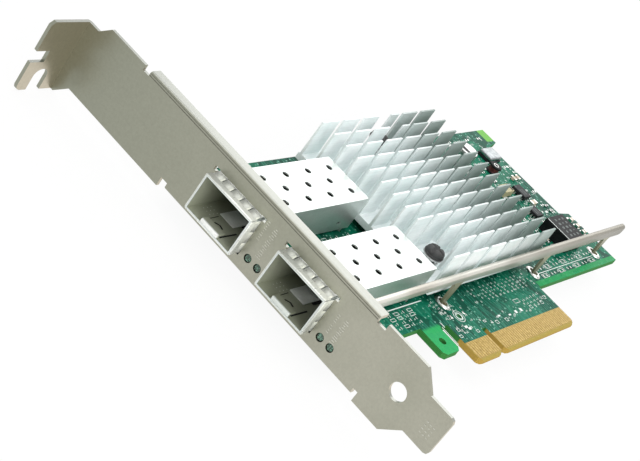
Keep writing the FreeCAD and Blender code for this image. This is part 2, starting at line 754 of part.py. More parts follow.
# ---------------------------------------------------------------- heat sink
def make_heat_sink():
    """The finned heat sink: twelve tapered fins cut across into six bays, cleared for two push pins."""
    body = new_body("heat_sink")
    last = fin_run
    plate = new_sketch(body, "sink_plate_outline", "XY_Plane", sink_base)
    rectangle(plate, sink_near, sink_far, sink_low, sink_high + 0.15)
    pad(body, plate, sink_plate, "sink_plate")
    fin = new_sketch(body, "fin_outline", "YZ_Plane", sink_near)
    axis = sink_high - fin_thick / 2
    polygon(fin, [
        (axis - fin_thick / 2, sink_floor - 0.05), (axis + fin_thick / 2, sink_floor - 0.05),
        (axis + fin_tip / 2, sink_crest - 0.15), (axis + fin_tip / 2 - 0.15, sink_crest),
        (axis - fin_tip / 2 + 0.15, sink_crest), (axis - fin_tip / 2, sink_crest - 0.15),
    ])
    blade = pad(body, fin, sink_far - sink_near, "fin")
    DOC.recompute()
    line_pattern(body, fin, "H_Axis", [blade], last, fin_count, "fin_row", flip=True)
    DOC.recompute()
    cross = new_sketch(body, "cross_cut", "XY_Plane", sink_floor)
    rectangle(cross, sink_near + bay_long, sink_near + bay_long + bay_gap, sink_high - last - 3.0,
              sink_high + 2.0)
    saw = pocket(body, cross, fin_tall + 1.0, "cross_slot", flip=True)
    line_pattern(body, cross, "H_Axis", [saw], (bay_long + bay_gap) * (bay_count - 2), bay_count - 1,
                 "cross_slots")
    DOC.recompute()
    relief = new_sketch(body, "pin_relief_outline", "XY_Plane", sink_floor)
    circle(relief, pin_low_x, pin_low_y, pin_relief)
    circle(relief, pin_high_x, pin_high_y, pin_relief)
    pocket(body, relief, fin_tall + 1.0, "pin_reliefs", flip=True)
    stub = new_sketch(body, "corner_relief_outline", "XY_Plane", sink_floor)
    rectangle(stub, sink_near - 1.0, pin_low_x, pin_low_y - 3.2, pin_low_y + 3.2)
    pocket(body, stub, fin_tall + 1.0, "corner_relief", flip=True)
    bores = new_sketch(body, "pin_bores_outline", "XY_Plane", sink_base)
    circle(bores, pin_low_x, pin_low_y, pin_shaft + pin_clear)
    circle(bores, pin_high_x, pin_high_y, pin_shaft + pin_clear)
    pocket(body, bores, sink_plate + 0.2, "pin_bores", flip=True)


def make_push_pins():
    """Two push pins with slotted heads and barbed tips, and their springs."""
    pins = []
    springs = []
    for place, (across, along) in enumerate(((pin_low_x, pin_low_y), (pin_high_x, pin_high_y))):
        label = "push_pin_%d" % place
        head = rod(label + "_head", (across, along, pin_top - pin_cap), pin_head, pin_cap)
        slot = box(label + "_slot", (across - pin_head, along - 0.45, pin_top - 0.7),
                   (pin_head * 2, 0.9, 1.0), keep=False)
        cap = less(label + "_cap", head, slot, keep=False)
        tall = pin_top - pin_cap - board_under + 0.2
        shaft = rod(label + "_shaft", (across, along, board_under - 0.1), pin_shaft, tall)
        barb = DOC.addObject("Part::Cone", label + "_barb")
        barb.Radius1 = 0.8
        barb.Radius2 = 1.95
        barb.Height = 1.5
        seat(barb, across, along, board_under - 1.6)
        pins.append(fused(label, [cap, shaft, barb], keep=False))
        coil = DOC.addObject("Part::Helix", "spring_path_%d" % place)
        rest = (pin_rise - pin_cap - spring_wire * 2 - 0.06)
        tie(coil, "Height", rest)
        tie(coil, "Pitch", rest / 2.5)
        tie(coil, "Radius", (pin_head - pin_shaft) / 4 + pin_shaft / 2 - 0.05)
        wire = DOC.addObject("Part::RegularPolygon", "spring_wire_%d" % place)
        wire.Polygon = 4
        tie(wire, "Circumradius", spring_wire)
        seat(coil, across, along, sink_floor + spring_wire + 0.03)
        wire.Placement = FreeCAD.Placement(FreeCAD.Vector(0, 0, 0),
                                           FreeCAD.Rotation(FreeCAD.Vector(1, 0, 0), 90))
        seat(wire, across + (pin_head - pin_shaft) / 4 + pin_shaft / 2 - 0.05, along,
             sink_floor + spring_wire + 0.03)
        DOC.recompute()
        sweep = DOC.addObject("Part::Sweep", "spring_%d" % place)
        sweep.Sections = [wire]
        sweep.Spine = coil
        sweep.Solid = True
        sweep.Frenet = True
        springs.append(sweep)
    group("push_pins", pins)
    group("push_pin_springs", springs)


# ---------------------------------------------------------------- parts on the board
def make_controller():
    """The network controller under the heat sink, with its thermal pad."""
    half = chip_side / 2
    lid = chip_lid / 2
    carrier = box("controller_carrier", (chip_x - half, chip_y - half, board_top),
                  (chip_side, chip_side, chip_carrier), keep=False)
    rise = sink_base - pad_skin - board_top
    mould = box("controller_lid", (chip_x - lid, chip_y - lid, board_top),
                (chip_lid, chip_lid, rise), keep=False)
    fused("controller_chip", [carrier, mould])
    box("thermal_pad", (chip_x - lid + 0.5, chip_y - lid + 0.5, board_top + rise),
        (chip_lid - 1.0, chip_lid - 1.0, pad_skin))


def make_connector(name, centre):
    """The socket inside a cage that takes a module's edge."""
    start = cage_rear - 12.4
    block = box(name + "_block", (start, centre - 4.7, board_top), (11.0, 9.4, 5.6), keep=False)
    mouth = box(name + "_slot", (start - 1.0, centre - 4.1, board_top + 2.5), (7.5, 8.2, 1.3), keep=False)
    less(name, block, mouth)


def make_lamps():
    """Four lamps on the board's rear edge with lenses in the bracket's holes."""
    lamps = []
    for place in range(4):
        port = port_top_y if place < 2 else port_low_y
        along = port - lamp_near - lamp_pitch * (place % 2)
        block = box("lamp_block_%d" % place, (board_rear + 0.3, along - 0.9, board_top), (1.6, 1.8, 2.2),
                    keep=False)
        lens = DOC.addObject("Part::Prism", "lamp_lens_%d" % place)
        lens.Polygon = 12
        tie(lens, "Circumradius", lamp_bore / 2 - lamp_clear / 2)
        tie(lens, "Height", board_rear + 0.55)
        lens.Placement = FreeCAD.Placement(FreeCAD.Vector(0, 0, 0),
                                           FreeCAD.Rotation(FreeCAD.Vector(0, 1, 0), 90))
        seat(lens, sheet_gauge * 0.28, along, lamp_height)
        lamps.append(fused("lamp_%d" % place, [block, lens], keep=False))
    group("status_lamps", lamps)


def on_board(share, height):
    """A place beyond the heat sink: its share of the way to the board's recess, and of the board's height."""
    return sink_far + (board_recess - sink_far) * share, board_low + board_tall * height


def make_small_parts():
    """Power and clock parts beyond the heat sink, and the small chips between the cages."""
    across, along = on_board(0.5701, 0.13)
    box("power_inductor", (across, along, board_top), (10.0, 10.0, 4.0))
    across, along = on_board(0.7494, 0.7617)
    box("clock_oscillator", (across, along, board_top), (7.0, 5.0, 1.9))

    across, along = on_board(0.7126, 0.7022)
    base = rod("coil_base", (across, along, board_top), 5.4, 0.7)
    waist = rod("coil_waist", (across, along, board_top), 4.3, 3.0)
    crown = rod("coil_crown", (across, along, board_top + 2.4), 5.4, 0.7)
    fused("drum_inductor", [base, waist, crown])

    across, along = on_board(0.4046, 0.8069)
    foot = box("can_foot", (across - 3.3, along - 3.3, board_top), (6.6, 6.6, 0.8), keep=False)
    can = rod("can_barrel", (across, along, board_top), 6.3, 5.4)
    fused("electrolytic_capacitor", [foot, can])

    across, along = on_board(0.4897, 0.5235)
    box("tantalum_capacitor", (across, along, board_top), (7.3, 4.3, 2.9))

    across, along = on_board(0.7494, 0.5343)
    make_small_chip("regulator_chip", across, along, 3.9, 4.9, 1.55)
    across, along = on_board(0.6805, 0.3971)
    make_small_chip("driver_chip", across, along, 3.9, 3.9, 1.4)

    blocks = []
    places = [(1.0253, 0.2888, 2.0, 1.25), (1.0253, 0.2437, 2.0, 1.25), (1.0253, 0.1986, 2.0, 1.25),
              (0.4897, 0.2058, 1.6, 3.2), (0.7586, 0.4458, 3.2, 1.6), (0.8414, 0.6173, 1.25, 2.0),
              (0.8966, 0.6173, 1.25, 2.0), (0.1356, 0.3718, 2.0, 1.25), (0.1356, 0.3177, 2.0, 1.25),
              (0.2276, 0.1462, 3.2, 1.6), (0.1241, 0.6606, 1.25, 2.0)]
    spots = [on_board(share, height) + (long, wide) for share, height, long, wide in places]
    middle = (port_top_y + port_low_y) / 2
    spots += [(board_rear + 11.1, middle + 1.0, 2.0, 1.25), (board_rear + 20.1, middle + 1.0, 2.0, 1.25),
              (board_rear + 28.6, middle - 1.4, 2.0, 1.25)]
    for place, (across, along, long, wide) in enumerate(spots):
        blocks.append(box("ceramic_%d" % place, (across, along, board_top), (long, wide, 0.9), keep=False))
    group("ceramic_capacitors", blocks)
    blocks = []
    places = [(0.2621, 0.5884), (0.2621, 0.5433), (0.2621, 0.4982), (0.5839, 0.6679), (0.5839, 0.6354),
              (0.9103, 0.4188), (0.9103, 0.3827), (0.3632, 0.2635)]
    spots = [on_board(share, height) for share, height in places]
    spots += [(board_rear + 7.1, middle - 2.2), (board_rear + 15.5, middle - 1.8),
              (board_rear + 24.1, middle + 0.6), (board_rear + 33.5, middle + 0.8)]
    for place, (across, along) in enumerate(spots):
        blocks.append(box("resistor_%d" % place, (across, along, board_top), (1.6, 0.8, 0.45), keep=False))
    group("chip_resistors", blocks)


def make_small_chip(name, across, along, wide, long, tall):
    """A small moulded chip with four bent leads along each long side, two nodes."""
    box(name, (across - wide / 2, along - long / 2, board_top + 0.15), (wide, long, tall - 0.15))
    leads = []
    for place in range(4):
        step = (long - 1.1) / 3
        low = along - long / 2 + 0.35 + step * place
        for side in (-1, 1):
            start = across + side * wide / 2
            near = start if side > 0 else start - 0.55
            far = start + 0.35 if side > 0 else start - 1.15
            arm = box("%s_arm_%d_%d" % (name, place, side + 1), (near, low, board_top + 0.55),
                      (0.55, 0.4, 0.18), keep=False)
            drop = box("%s_drop_%d_%d" % (name, place, side + 1),
                       (near + 0.37 if side > 0 else near, low, board_top), (0.18, 0.4, 0.7), keep=False)
            toe = box("%s_toe_%d_%d" % (name, place, side + 1), (far, low, board_top), (0.8, 0.4, 0.18),
                      keep=False)
            leads.append(fused("%s_lead_%d_%d" % (name, place, side + 1), [arm, drop, toe], keep=False))
    group(name + "_leads", leads)


def main():
    """Builds every piece, checks it and writes one file for each."""
    make_bracket()
    make_board()
    make_contacts("edge_contacts_component_side", board_top, True)
    make_contacts("edge_contacts_solder_side", board_under, False)
    make_rail()
    make_rail_solder()
    for label, centre in (("upper", port_top_y), ("lower", port_low_y)):
        make_cage("module_cage_" + label, centre)
        body, finger, roof = make_gasket("cage_gasket_" + label, centre)
        line_pattern(body, roof, "N_Axis", [finger], roof_finger_pitch * 4, 5, "cage_gasket_%s_row" % label)
        DOC.recompute()
        side_fingers(body, "cage_gasket_" + label, centre, -1)
        side_fingers(body, "cage_gasket_" + label, centre, 1)
        make_connector("host_connector_" + label, centre)
    make_heat_sink()
    make_push_pins()
    make_controller()
    make_lamps()
    make_small_parts()
    DOC.recompute()
    bad = [item.Name for item in DOC.Objects if "Invalid" in item.State or "Error" in item.State]
    if bad:
        raise RuntimeError("failed: " + ", ".join(bad))
    os.makedirs("parts", exist_ok=True)
    for node in NODES:
        shape = node.Shape
        if shape.isNull() or not shape.isValid() or shape.Volume <= 0:
            raise RuntimeError(node.Label + " has no valid shape")
    for node in NODES:
        node.Shape.exportStep("parts/" + node.Label + ".step")
        print(node.Label, len(node.Shape.Solids), round(node.Shape.Volume, 2))


main()
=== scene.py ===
"""Dresses a dual-port network interface card: finishes for its CAD solids and the fine detail they carry.

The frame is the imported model, in metres, lying flat: X runs from the bracket along the board, Y from the
edge contacts up, Z from the solder side to the component side.
"""
from __future__ import annotations

import json
import logging
import math
import random
from dataclasses import dataclass, field
from enum import Enum
from functools import partial
from typing import Any, Iterable, Sequence

import bmesh
import bpy
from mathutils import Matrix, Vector

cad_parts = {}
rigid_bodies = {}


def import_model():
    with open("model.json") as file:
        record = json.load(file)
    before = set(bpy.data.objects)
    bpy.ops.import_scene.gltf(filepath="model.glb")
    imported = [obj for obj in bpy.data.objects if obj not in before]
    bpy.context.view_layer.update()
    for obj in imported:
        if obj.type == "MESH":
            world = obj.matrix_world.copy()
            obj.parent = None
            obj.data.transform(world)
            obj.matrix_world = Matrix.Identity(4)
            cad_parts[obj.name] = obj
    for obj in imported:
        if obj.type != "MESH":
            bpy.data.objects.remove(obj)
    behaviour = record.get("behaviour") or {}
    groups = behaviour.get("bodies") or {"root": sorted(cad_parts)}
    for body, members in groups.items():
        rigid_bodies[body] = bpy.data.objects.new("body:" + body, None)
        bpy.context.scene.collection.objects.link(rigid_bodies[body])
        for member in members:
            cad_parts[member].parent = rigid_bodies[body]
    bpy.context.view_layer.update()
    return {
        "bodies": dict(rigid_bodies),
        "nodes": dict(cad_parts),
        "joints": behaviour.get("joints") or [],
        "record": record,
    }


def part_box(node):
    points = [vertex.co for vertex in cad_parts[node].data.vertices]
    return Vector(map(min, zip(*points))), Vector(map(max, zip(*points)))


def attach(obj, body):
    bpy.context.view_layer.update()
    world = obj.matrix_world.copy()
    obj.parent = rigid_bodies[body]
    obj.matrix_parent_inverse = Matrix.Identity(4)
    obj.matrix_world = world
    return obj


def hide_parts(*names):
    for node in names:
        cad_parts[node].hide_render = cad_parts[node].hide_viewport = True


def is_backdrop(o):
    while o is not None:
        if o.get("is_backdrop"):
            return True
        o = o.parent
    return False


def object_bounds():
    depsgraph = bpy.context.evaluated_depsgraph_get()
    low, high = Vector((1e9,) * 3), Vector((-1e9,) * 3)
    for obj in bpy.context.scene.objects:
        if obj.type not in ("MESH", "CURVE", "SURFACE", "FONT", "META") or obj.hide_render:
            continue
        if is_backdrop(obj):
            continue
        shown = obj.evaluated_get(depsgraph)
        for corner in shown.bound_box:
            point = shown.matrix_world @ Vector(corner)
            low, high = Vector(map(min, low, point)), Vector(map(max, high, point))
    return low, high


LOG = logging.getLogger("network_card")
MM = 0.001
COLOURS = {"data_type": "RGBA"}
Socket = bpy.types.NodeSocket
Profile = Sequence[tuple[float, float]]


# ---------------------------------------------------------------- small tools
def linear(hex_colour: str) -> tuple[float, float, float, float]:
    """Turns an sRGB colour into Blender's linear colour.

    Args:
        hex_colour: Six hex digits.

    Returns:
        Red, green, blue and a full alpha, linear.
    """
    parts = [int(hex_colour[i : i + 2], 16) / 255 for i in (0, 2, 4)]
    made = [c / 12.92 if c <= 0.04045 else ((c + 0.055) / 1.055) ** 2.4 for c in parts]
    return (made[0], made[1], made[2], 1.0)


def per_metre(size_mm: float) -> float:
    """Cycles a metre of a pattern with this repeat in millimetres."""
    return 1.0 / (size_mm * MM)


def mm(across: float, along: float = 0.0, rise: float = 0.0) -> Vector:
    """A step given in millimetres, as metres."""
    return Vector((across, along, rise)) * MM


def turns(sides: int) -> list[float]:
    """The angles of the corners of a full turn."""
    return [math.tau * i / sides for i in range(sides)]


def feed(tree: bpy.types.NodeTree, node: bpy.types.Node, feeds: Any) -> None:
    """Links outputs to a node's inputs, or sets them.

    Args:
        tree: The node's tree.
        node: The node.
        feeds: An output or a value for each named or numbered input, or for the first few in order.
    """
    for name, value in feeds.items() if isinstance(feeds, dict) else enumerate(feeds):
        if isinstance(value, Socket):
            tree.links.new(value, node.inputs[name])
        else:
            node.inputs[name].default_value = value


def add(tree: bpy.types.NodeTree, kind: str, feeds: Any = (), out: int | str = 0,
        stops: Sequence[tuple[float, Any]] = (), ease: bool = False, **settings: Any) -> Any:
    """Adds one shader node with its settings and links.

    Args:
        tree: The tree that the node goes in.
        kind: The node's type without its ShaderNode prefix.
        feeds: What the node's inputs get, as in feed().
        out: Which output is wanted.
        stops: A ramp's places from 0 to 1, each with a grey level or a colour.
        ease: Eases between a ramp's stops.
        settings: Values for the node's own properties.

    Returns:
        The wanted output, or the node itself where it has none.
    """
    node = tree.nodes.new("ShaderNode" + kind)
    for name, value in settings.items():
        setattr(node, name, value)
    feed(tree, node, feeds)
    if stops:
        node.color_ramp.interpolation = "EASE" if ease else "LINEAR"
        elements = node.color_ramp.elements
        while len(elements) < len(stops):
            elements.new(0.5)
        for element, (place, colour) in zip(elements, stops):
            element.position = place
            element.color = (colour, colour, colour, 1.0) if isinstance(colour, float) else colour
    return node.outputs[out] if len(node.outputs) else node


def paper_seen(tree: bpy.types.NodeTree) -> Socket:
    """A mask that is 1 for the rays that show the white backdrop: straight, mirrored or through glass.

    Args:
        tree: The tree that the nodes go in.

    Returns:
        The mask's output.
    """
    rays = add(tree, "LightPath").node.outputs
    mirrored = add(tree, "Math", (rays["Is Glossy Ray"], rays["Is Transmission Ray"]), operation="MAXIMUM")
    return add(tree, "Math", (rays["Is Camera Ray"], mirrored), operation="MAXIMUM")


class Surface:
    """A material under way: its shader, its node adder and the place on the object, which is the frame's own."""

    def __init__(self, name: str) -> None:
        """Starts the material with one Principled shader on its output.

        Args:
            name: The material's name.
        """
        self.material = bpy.data.materials.new(name)
        self.material.use_nodes = True
        self.tree = self.material.node_tree
        self.shader = self.tree.nodes["Principled BSDF"]
        self.node = partial(add, self.tree)
        self.place = self.node("TexCoord", out="Object")

    def close(self, values: dict[str, Any], height: Any = None, depth_mm: float = 0.0,
              strength: float = 0.6) -> bpy.types.Material:
        """Gives the shader its values and its relief.

        Args:
            values: An output or a value for each of the shader's inputs that isn't left alone.
            height: The output that drives the relief, if there is any.
            depth_mm: How deep the relief is.
            strength: How much of it shows.

        Returns:
            The finished material.
        """
        if height is not None:
            bump = self.node("Bump", {"Strength": strength, "Distance": depth_mm * MM, "Height": height})
            values["Normal"] = bump
        feed(self.tree, self.shader, values)
        return self.material


# ---------------------------------------------------------------- finishes
class Along(Enum):
    """The axis that a finish's lines or its fade run along."""

    X = 0
    Y = 1
    Z = 2


@dataclass(frozen=True)
class Fade:
    """A slow change of tone along one axis, from the finish's own colour to another, used as painted light and shade.
    """

    axis: Along
    start: float
    end: float
    colour: str

    def over(self, base: Surface, tone: Socket) -> Socket:
        """Lays the fade over a tone.

        Args:
            base: The surface that the tone is on.
            tone: The tone's output.

        Returns:
            The output with the fade on it.
        """
        line = base.node("SeparateXYZ", (base.place,), self.axis.value)
        share = base.node("MapRange", (line, self.start, self.end))
        return base.node("Mix", {0: share, 6: tone, 7: linear(self.colour)}, 2, **COLOURS)


@dataclass(frozen=True)
class RolledSheet:
    """Rolled and plated sheet metal: broad soft reflections, with fine rolling lines and a slow drift of tone, and
    where it has a fade, painted shade along one axis and painted light by which way a face turns.

    The rolling lines are drawn coarser than the real ones, which are too fine to show.
    """

    name: str
    colour: str
    shade: str
    roughness: float
    lines: Along = Along.Y
    line_mm: float = 0.35
    bump_mm: float = 0.004
    speck_mm: float = 0.6
    metallic: float = 1.0
    fade: Fade | None = None
    # painted light: how strongly faces turned up, and faces turned along Y, take the two painted tones below
    bloom_and_facing_light: float = 0.0
    painted_light_facing_up: str = "A9ABA6"
    painted_light_facing_y: str = "D8CDB8"
    line_stretch: float = 60.0
    drift_mm: float = 26.0

    def material(self) -> bpy.types.Material:
        """Builds the material.

        Returns:
            The new material.
        """
        base = Surface(self.name)
        node, place = base.node, base.place
        repeats = [self.line_mm] * 3
        repeats[self.lines.value] *= self.line_stretch
        rolled = node("Mapping", {0: place, "Scale": [per_metre(size) for size in repeats]})
        lines = node("TexNoise", {"Vector": rolled, "Scale": 1.0, "Detail": 2.0})
        drift = node("TexNoise", {"Vector": place, "Scale": per_metre(self.drift_mm), "Detail": 2.0})
        specks = node("TexNoise", {"Vector": place, "Scale": per_metre(self.speck_mm), "Detail": 3.0,
                                   "Roughness": 0.7})
        tone = node("ValToRGB", (drift,), stops=((0.35, linear(self.shade)), (0.68, linear(self.colour))), ease=True)
        # painted light and shade: the fade paints shade along one axis, and faces turned up or along Y take painted
        # tones
        if self.fade:
            tone = self.fade.over(base, tone)
            facing = node("SeparateXYZ", (node("NewGeometry", out="Normal"),)).node.outputs
            sideways = node("Math", (facing[1],), operation="ABSOLUTE")
            for lie, colour in ((facing[2], self.painted_light_facing_up), (sideways, self.painted_light_facing_y)):
                share = node("ValToRGB", (lie,), stops=((0.75, 0.0), (0.95, self.bloom_and_facing_light)))
                tone = node("Mix", {0: share, 6: tone, 7: linear(colour)}, 2, **COLOURS)
        grain = node("ValToRGB", (specks,), stops=((0.25, 0.86), (0.75, 1.0)))
        worn = node("Mix", {0: 1.0, 6: tone, 7: grain}, 2, blend_type="MULTIPLY", **COLOURS)
        fine = node("Math", (specks, 0.5), operation="MULTIPLY")
        mixed = node("Math", (lines, 0.6, fine), operation="MULTIPLY_ADD")
        spread = node("MapRange", (mixed, 0.3, 0.8, self.roughness * 0.82, self.roughness * 1.2))
        return base.close({"Base Color": worn, "Roughness": spread, "Metallic": self.metallic}, mixed, self.bump_mm)


@dataclass(frozen=True)
class AnodisedAluminium:
    """Extruded aluminium, clear anodised: a pale satin with saw lines in the cuts and a chalky bloom.

    The saw lines are drawn coarser than the real ones, which are too fine to show.
    """

    fade: Fade
    name: str = "clear_anodised_aluminium"
    colour: str = "FAFFFF"
    shade: str = "EEF8F7"
    roughness: float = 0.5
    saw_mm: tuple[float, float, float] = (30.0, 0.5, 0.3)
    bloom_mm: float = 7.0

    def material(self) -> bpy.types.Material:
        """Builds the material.

        Returns:
            The new material.
        """
        base = Surface(self.name)
        node, place = base.node, base.place
        drawn = node("Mapping", {0: place, "Scale": [per_metre(size) for size in self.saw_mm]})
        lines = node("TexNoise", {"Vector": drawn, "Scale": 1.0, "Detail": 3.0})
        bloom_and_facing_light = node("TexNoise", {"Vector": place, "Scale": per_metre(self.bloom_mm), "Detail": 4.0})
        tone = node("ValToRGB", (bloom_and_facing_light,), stops=((0.3, linear(self.shade)), (0.62, linear(self.colour))), ease=True)
        streak = node("ValToRGB", (lines,), stops=((0.3, 0.9), (0.7, 1.0)))
        worn = node("Mix", {0: 1.0, 6: self.fade.over(base, tone), 7: streak}, 2, blend_type="MULTIPLY", **COLOURS)
        spread = node("MapRange", (lines, 0.2, 0.8, self.roughness - 0.06, self.roughness + 0.08))
        return base.close({"Base Color": worn, "Roughness": spread, "Metallic": 0.12}, lines, 0.006, 0.5)


@dataclass(frozen=True)
class Patch:
    """A rectangle of the board in millimetres, with the length of its soft edge on each axis."""

    across: tuple[float, float]
    along: tuple[float, float]
    soft: tuple[float, float]


@dataclass(frozen=True)
class SolderMask:
    """Glass-epoxy board under a satin green mask: teal over copper, brighter where the laminate shows through.

    The tracks, the cloth and the plies in the cut edge are drawn coarser than the real ones, too fine to show.
    """

    plan: BoardPlan
    name: str = "green_solder_mask"
    over_copper: str = "0D6A50"
    between: str = "074A3A"
    track: str = "3FA083"
    bare_green: str = "2BA85A"
    bare_shade: str = "1F9D5B"
    ear_tint: str = "A6D13C"
    laminate: str = "A38F45"
    speck: str = "9FDCC6"
    # the cut edge's own green in two ply tones, both darkened as painted shade
    edge: str = "3F8240"
    edge_shade: str = "2F6B36"
    tip_edge: str = "A98C45"
    tab: Patch = Patch((36.0, 43.8), (-102.0, -93.6), (0.4, 0.8))
    low_edge: Patch = Patch((99.0, 150.0), (-93.0, -91.0), (0.4, 0.3))
    ear: Patch = Patch((145.4, 150.0), (-41.8, -37.0), (0.5, 0.5))
    pour_mm: float = 6.5
    route_mm: tuple[float, float] = (0.9, 5.5)
    dot_mm: float = 1.0
    dot_show: float = 0.62
    mottle_mm: float = 3.0
    cloth_mm: float = 0.5
    ply_mm: float = 1.2
    fingers: Patch = Patch((46.0, 99.0), (-106.5, -99.95), (0.1, 0.12))
    tips: Patch = Patch((45.4, 99.6), (-107.5, -98.6), (0.1, 0.4))

    def mask(self, base: Surface, patch: Patch) -> Socket:
        """A mask that is 1 on a patch and fades over its soft edge.

        Args:
            base: The surface that it is on.
            patch: Where it is.

        Returns:
            The mask's output.
        """
        node, zero = base.node, self.plan.zero
        split = node("SeparateXYZ", (base.place,)).node.outputs
        sides = []
        for axis, span in enumerate((patch.across, patch.along)):
            low, high = (zero[axis] + end * MM for end in span)
            soft = patch.soft[axis] * MM
            rise = node("MapRange", (split[axis], low - soft, low, 0.0, 1.0))
            fall = node("MapRange", (split[axis], high, high + soft, 1.0, 0.0))
            sides.append(node("Math", (rise, fall), operation="MULTIPLY"))
        return node("Math", sides, operation="MULTIPLY")

    def speckle(self, base: Surface, covered: Socket) -> Socket:
        """A mask of small dots, for pads and vias too fine to model.

        Args:
            base: The surface that it is on.
            covered: The mask of the parts that have none.

        Returns:
            The mask's output.
        """
        node = base.node
        cells = node("TexVoronoi", {"Vector": base.place, "Scale": per_metre(self.dot_mm),
                                    "Randomness": 0.9}).node.outputs
        chosen = node("ValToRGB", (node("RGBToBW", (cells[1],)),), stops=((0.38, 0.0), (0.44, 1.0)))
        dots = node("ValToRGB", (cells[0],), stops=((0.18, 1.0), (0.3, 0.0)))
        kept = node("Math", (dots, chosen), operation="MULTIPLY")
        plain = node("Math", (1.0, covered), operation="SUBTRACT")
        shown = node("Math", (kept, plain), operation="MULTIPLY")
        return node("Math", (shown, self.dot_show), operation="MULTIPLY")

    def material(self) -> bpy.types.Material:
        """Builds the material.

        Returns:
            The new material.
        """
        base = Surface(self.name)
        node, place = base.node, base.place
        tab, low_edge, ear, fingers, tips = (self.mask(base, patch) for patch in (
            self.tab, self.low_edge, self.ear, self.fingers, self.tips))
        pour = node("TexVoronoi", {"Vector": place, "Scale": per_metre(self.pour_mm), "Randomness": 0.8}, 1,
                    distance="MANHATTAN")
        inked = node("ValToRGB", (node("RGBToBW", (pour,)),),
                     stops=((0.30, linear(self.between)), (0.62, linear(self.over_copper))))
        route = node("Mapping", {0: place, "Scale": (*map(per_metre, self.route_mm), 1.0)})
        runs = node("TexVoronoi", {"Vector": route, "Scale": 1.0, "Randomness": 0.55}, distance="CHEBYCHEV")
        copper = node("ValToRGB", (runs,), stops=((0.26, 1.0), (0.34, 0.0)))
        strip = node("Math", (low_edge, 0.75), operation="MULTIPLY")
        clear = node("Math", (node("Math", (tab, strip), operation="MAXIMUM"), ear), operation="MAXIMUM")
        mottled = node("TexNoise", {"Vector": place, "Scale": per_metre(self.mottle_mm), "Detail": 3.0})
        bright = node("ValToRGB", (mottled,), stops=((0.3, linear(self.bare_shade)), (0.7, linear(self.bare_green))))
        covered = node("Math", (clear, fingers), operation="MAXIMUM")
        for share, tone in ((node("Math", (copper, 0.32), operation="MULTIPLY"), linear(self.track)),
                            (clear, bright),
                            (node("Math", (ear, 0.4), operation="MULTIPLY"), linear(self.ear_tint)),
                            (fingers, linear(self.laminate)),
                            (self.speckle(base, covered), linear(self.speck))):
            inked = node("Mix", {0: share, 6: inked, 7: tone}, 2, **COLOURS)
        upright = node("SeparateXYZ", (node("NewGeometry", out="Normal"),), 2)
        side = node("ValToRGB", (node("Math", (upright,), operation="ABSOLUTE"),), stops=((0.35, 1.0), (0.6, 0.0)))
        weave = node("TexWave", {"Vector": place, "Scale": per_metre(self.ply_mm), "Distortion": 1.5}, 1,
                     bands_direction="Z")
        cut = node("ValToRGB", (weave,), stops=((0.2, linear(self.edge_shade)), (0.8, linear(self.edge))))
        cut = node("Mix", {0: tips, 6: cut, 7: linear(self.tip_edge)}, 2, **COLOURS)
        satin = node("ValToRGB", (mottled,), stops=((0.3, 0.24), (0.7, 0.36)))
        cloth = node("TexNoise", {"Vector": place, "Scale": per_metre(self.cloth_mm), "Detail": 1.0})
        raised = node("Math", (cloth, 0.25, copper), operation="MULTIPLY_ADD")
        return base.close({"Base Color": node("Mix", {0: side, 6: inked, 7: cut}, 2, **COLOURS),
                           "Roughness": node("Mix", {0: side, 6: satin, 7: (0.6, 0.6, 0.6, 1.0)}, 2, **COLOURS),
                           "Specular IOR Level": 0.035}, raised, 0.02, 0.7)


@dataclass(frozen=True)
class PlatedMetal:
    """A small plated or tinned part: bright, with a soft crystalline unevenness."""

    name: str
    colour: str
    shade: str
    roughness: float
    grain_mm: float = 0.5
    bump_mm: float = 0.01
    metallic: float = 1.0

    def material(self) -> bpy.types.Material:
        """Builds the material.

        Returns:
            The new material.
        """
        base = Surface(self.name)
        node = base.node
        grain = node("TexNoise", {"Vector": base.place, "Scale": per_metre(self.grain_mm), "Detail": 3.0,
                                  "Roughness": 0.6})
        tone = node("ValToRGB", (grain,), stops=((0.3, linear(self.shade)), (0.62, linear(self.colour))))
        spread = node("MapRange", (grain, 0.25, 0.75, self.roughness * 1.25, self.roughness * 0.8))
        return base.close({"Base Color": tone, "Roughness": spread, "Metallic": self.metallic}, grain, self.bump_mm)


@dataclass(frozen=True)
class MouldedResin:
    """A filled moulding, such as chip epoxy or liquid-crystal polymer: matt, with fine filler specks.

    The specks are drawn coarser than the real ones, which are too fine to show.
    """

    name: str
    colour: str
    speck: str
    roughness: float
    speck_mm: float = 0.25
    bump_mm: float = 0.012
    specular: float = 0.5
    flow_mm: float = 5.0

    def material(self) -> bpy.types.Material:
        """Builds the material.

        Returns:
            The new material.
        """
        base = Surface(self.name)
        node, place = base.node, base.place
        filler = node("TexNoise", {"Vector": place, "Scale": per_metre(self.speck_mm), "Detail": 4.0,
                                   "Roughness": 0.75})
        flow = node("TexNoise", {"Vector": place, "Scale": per_metre(self.flow_mm), "Detail": 1.0})
        tone = node("ValToRGB", (filler,), stops=((0.42, linear(self.colour)), (0.75, linear(self.speck))))
        dim = node("ValToRGB", (flow,), stops=((0.3, 0.88), (0.7, 1.0)))
        worn = node("Mix", {0: 1.0, 6: tone, 7: dim}, 2, blend_type="MULTIPLY", **COLOURS)
        spread = node("MapRange", (filler, 0.2, 0.8, self.roughness - 0.06, self.roughness + 0.1))
        return base.close({"Base Color": worn, "Roughness": spread, "Specular IOR Level": self.specular},
                          filler, self.bump_mm)


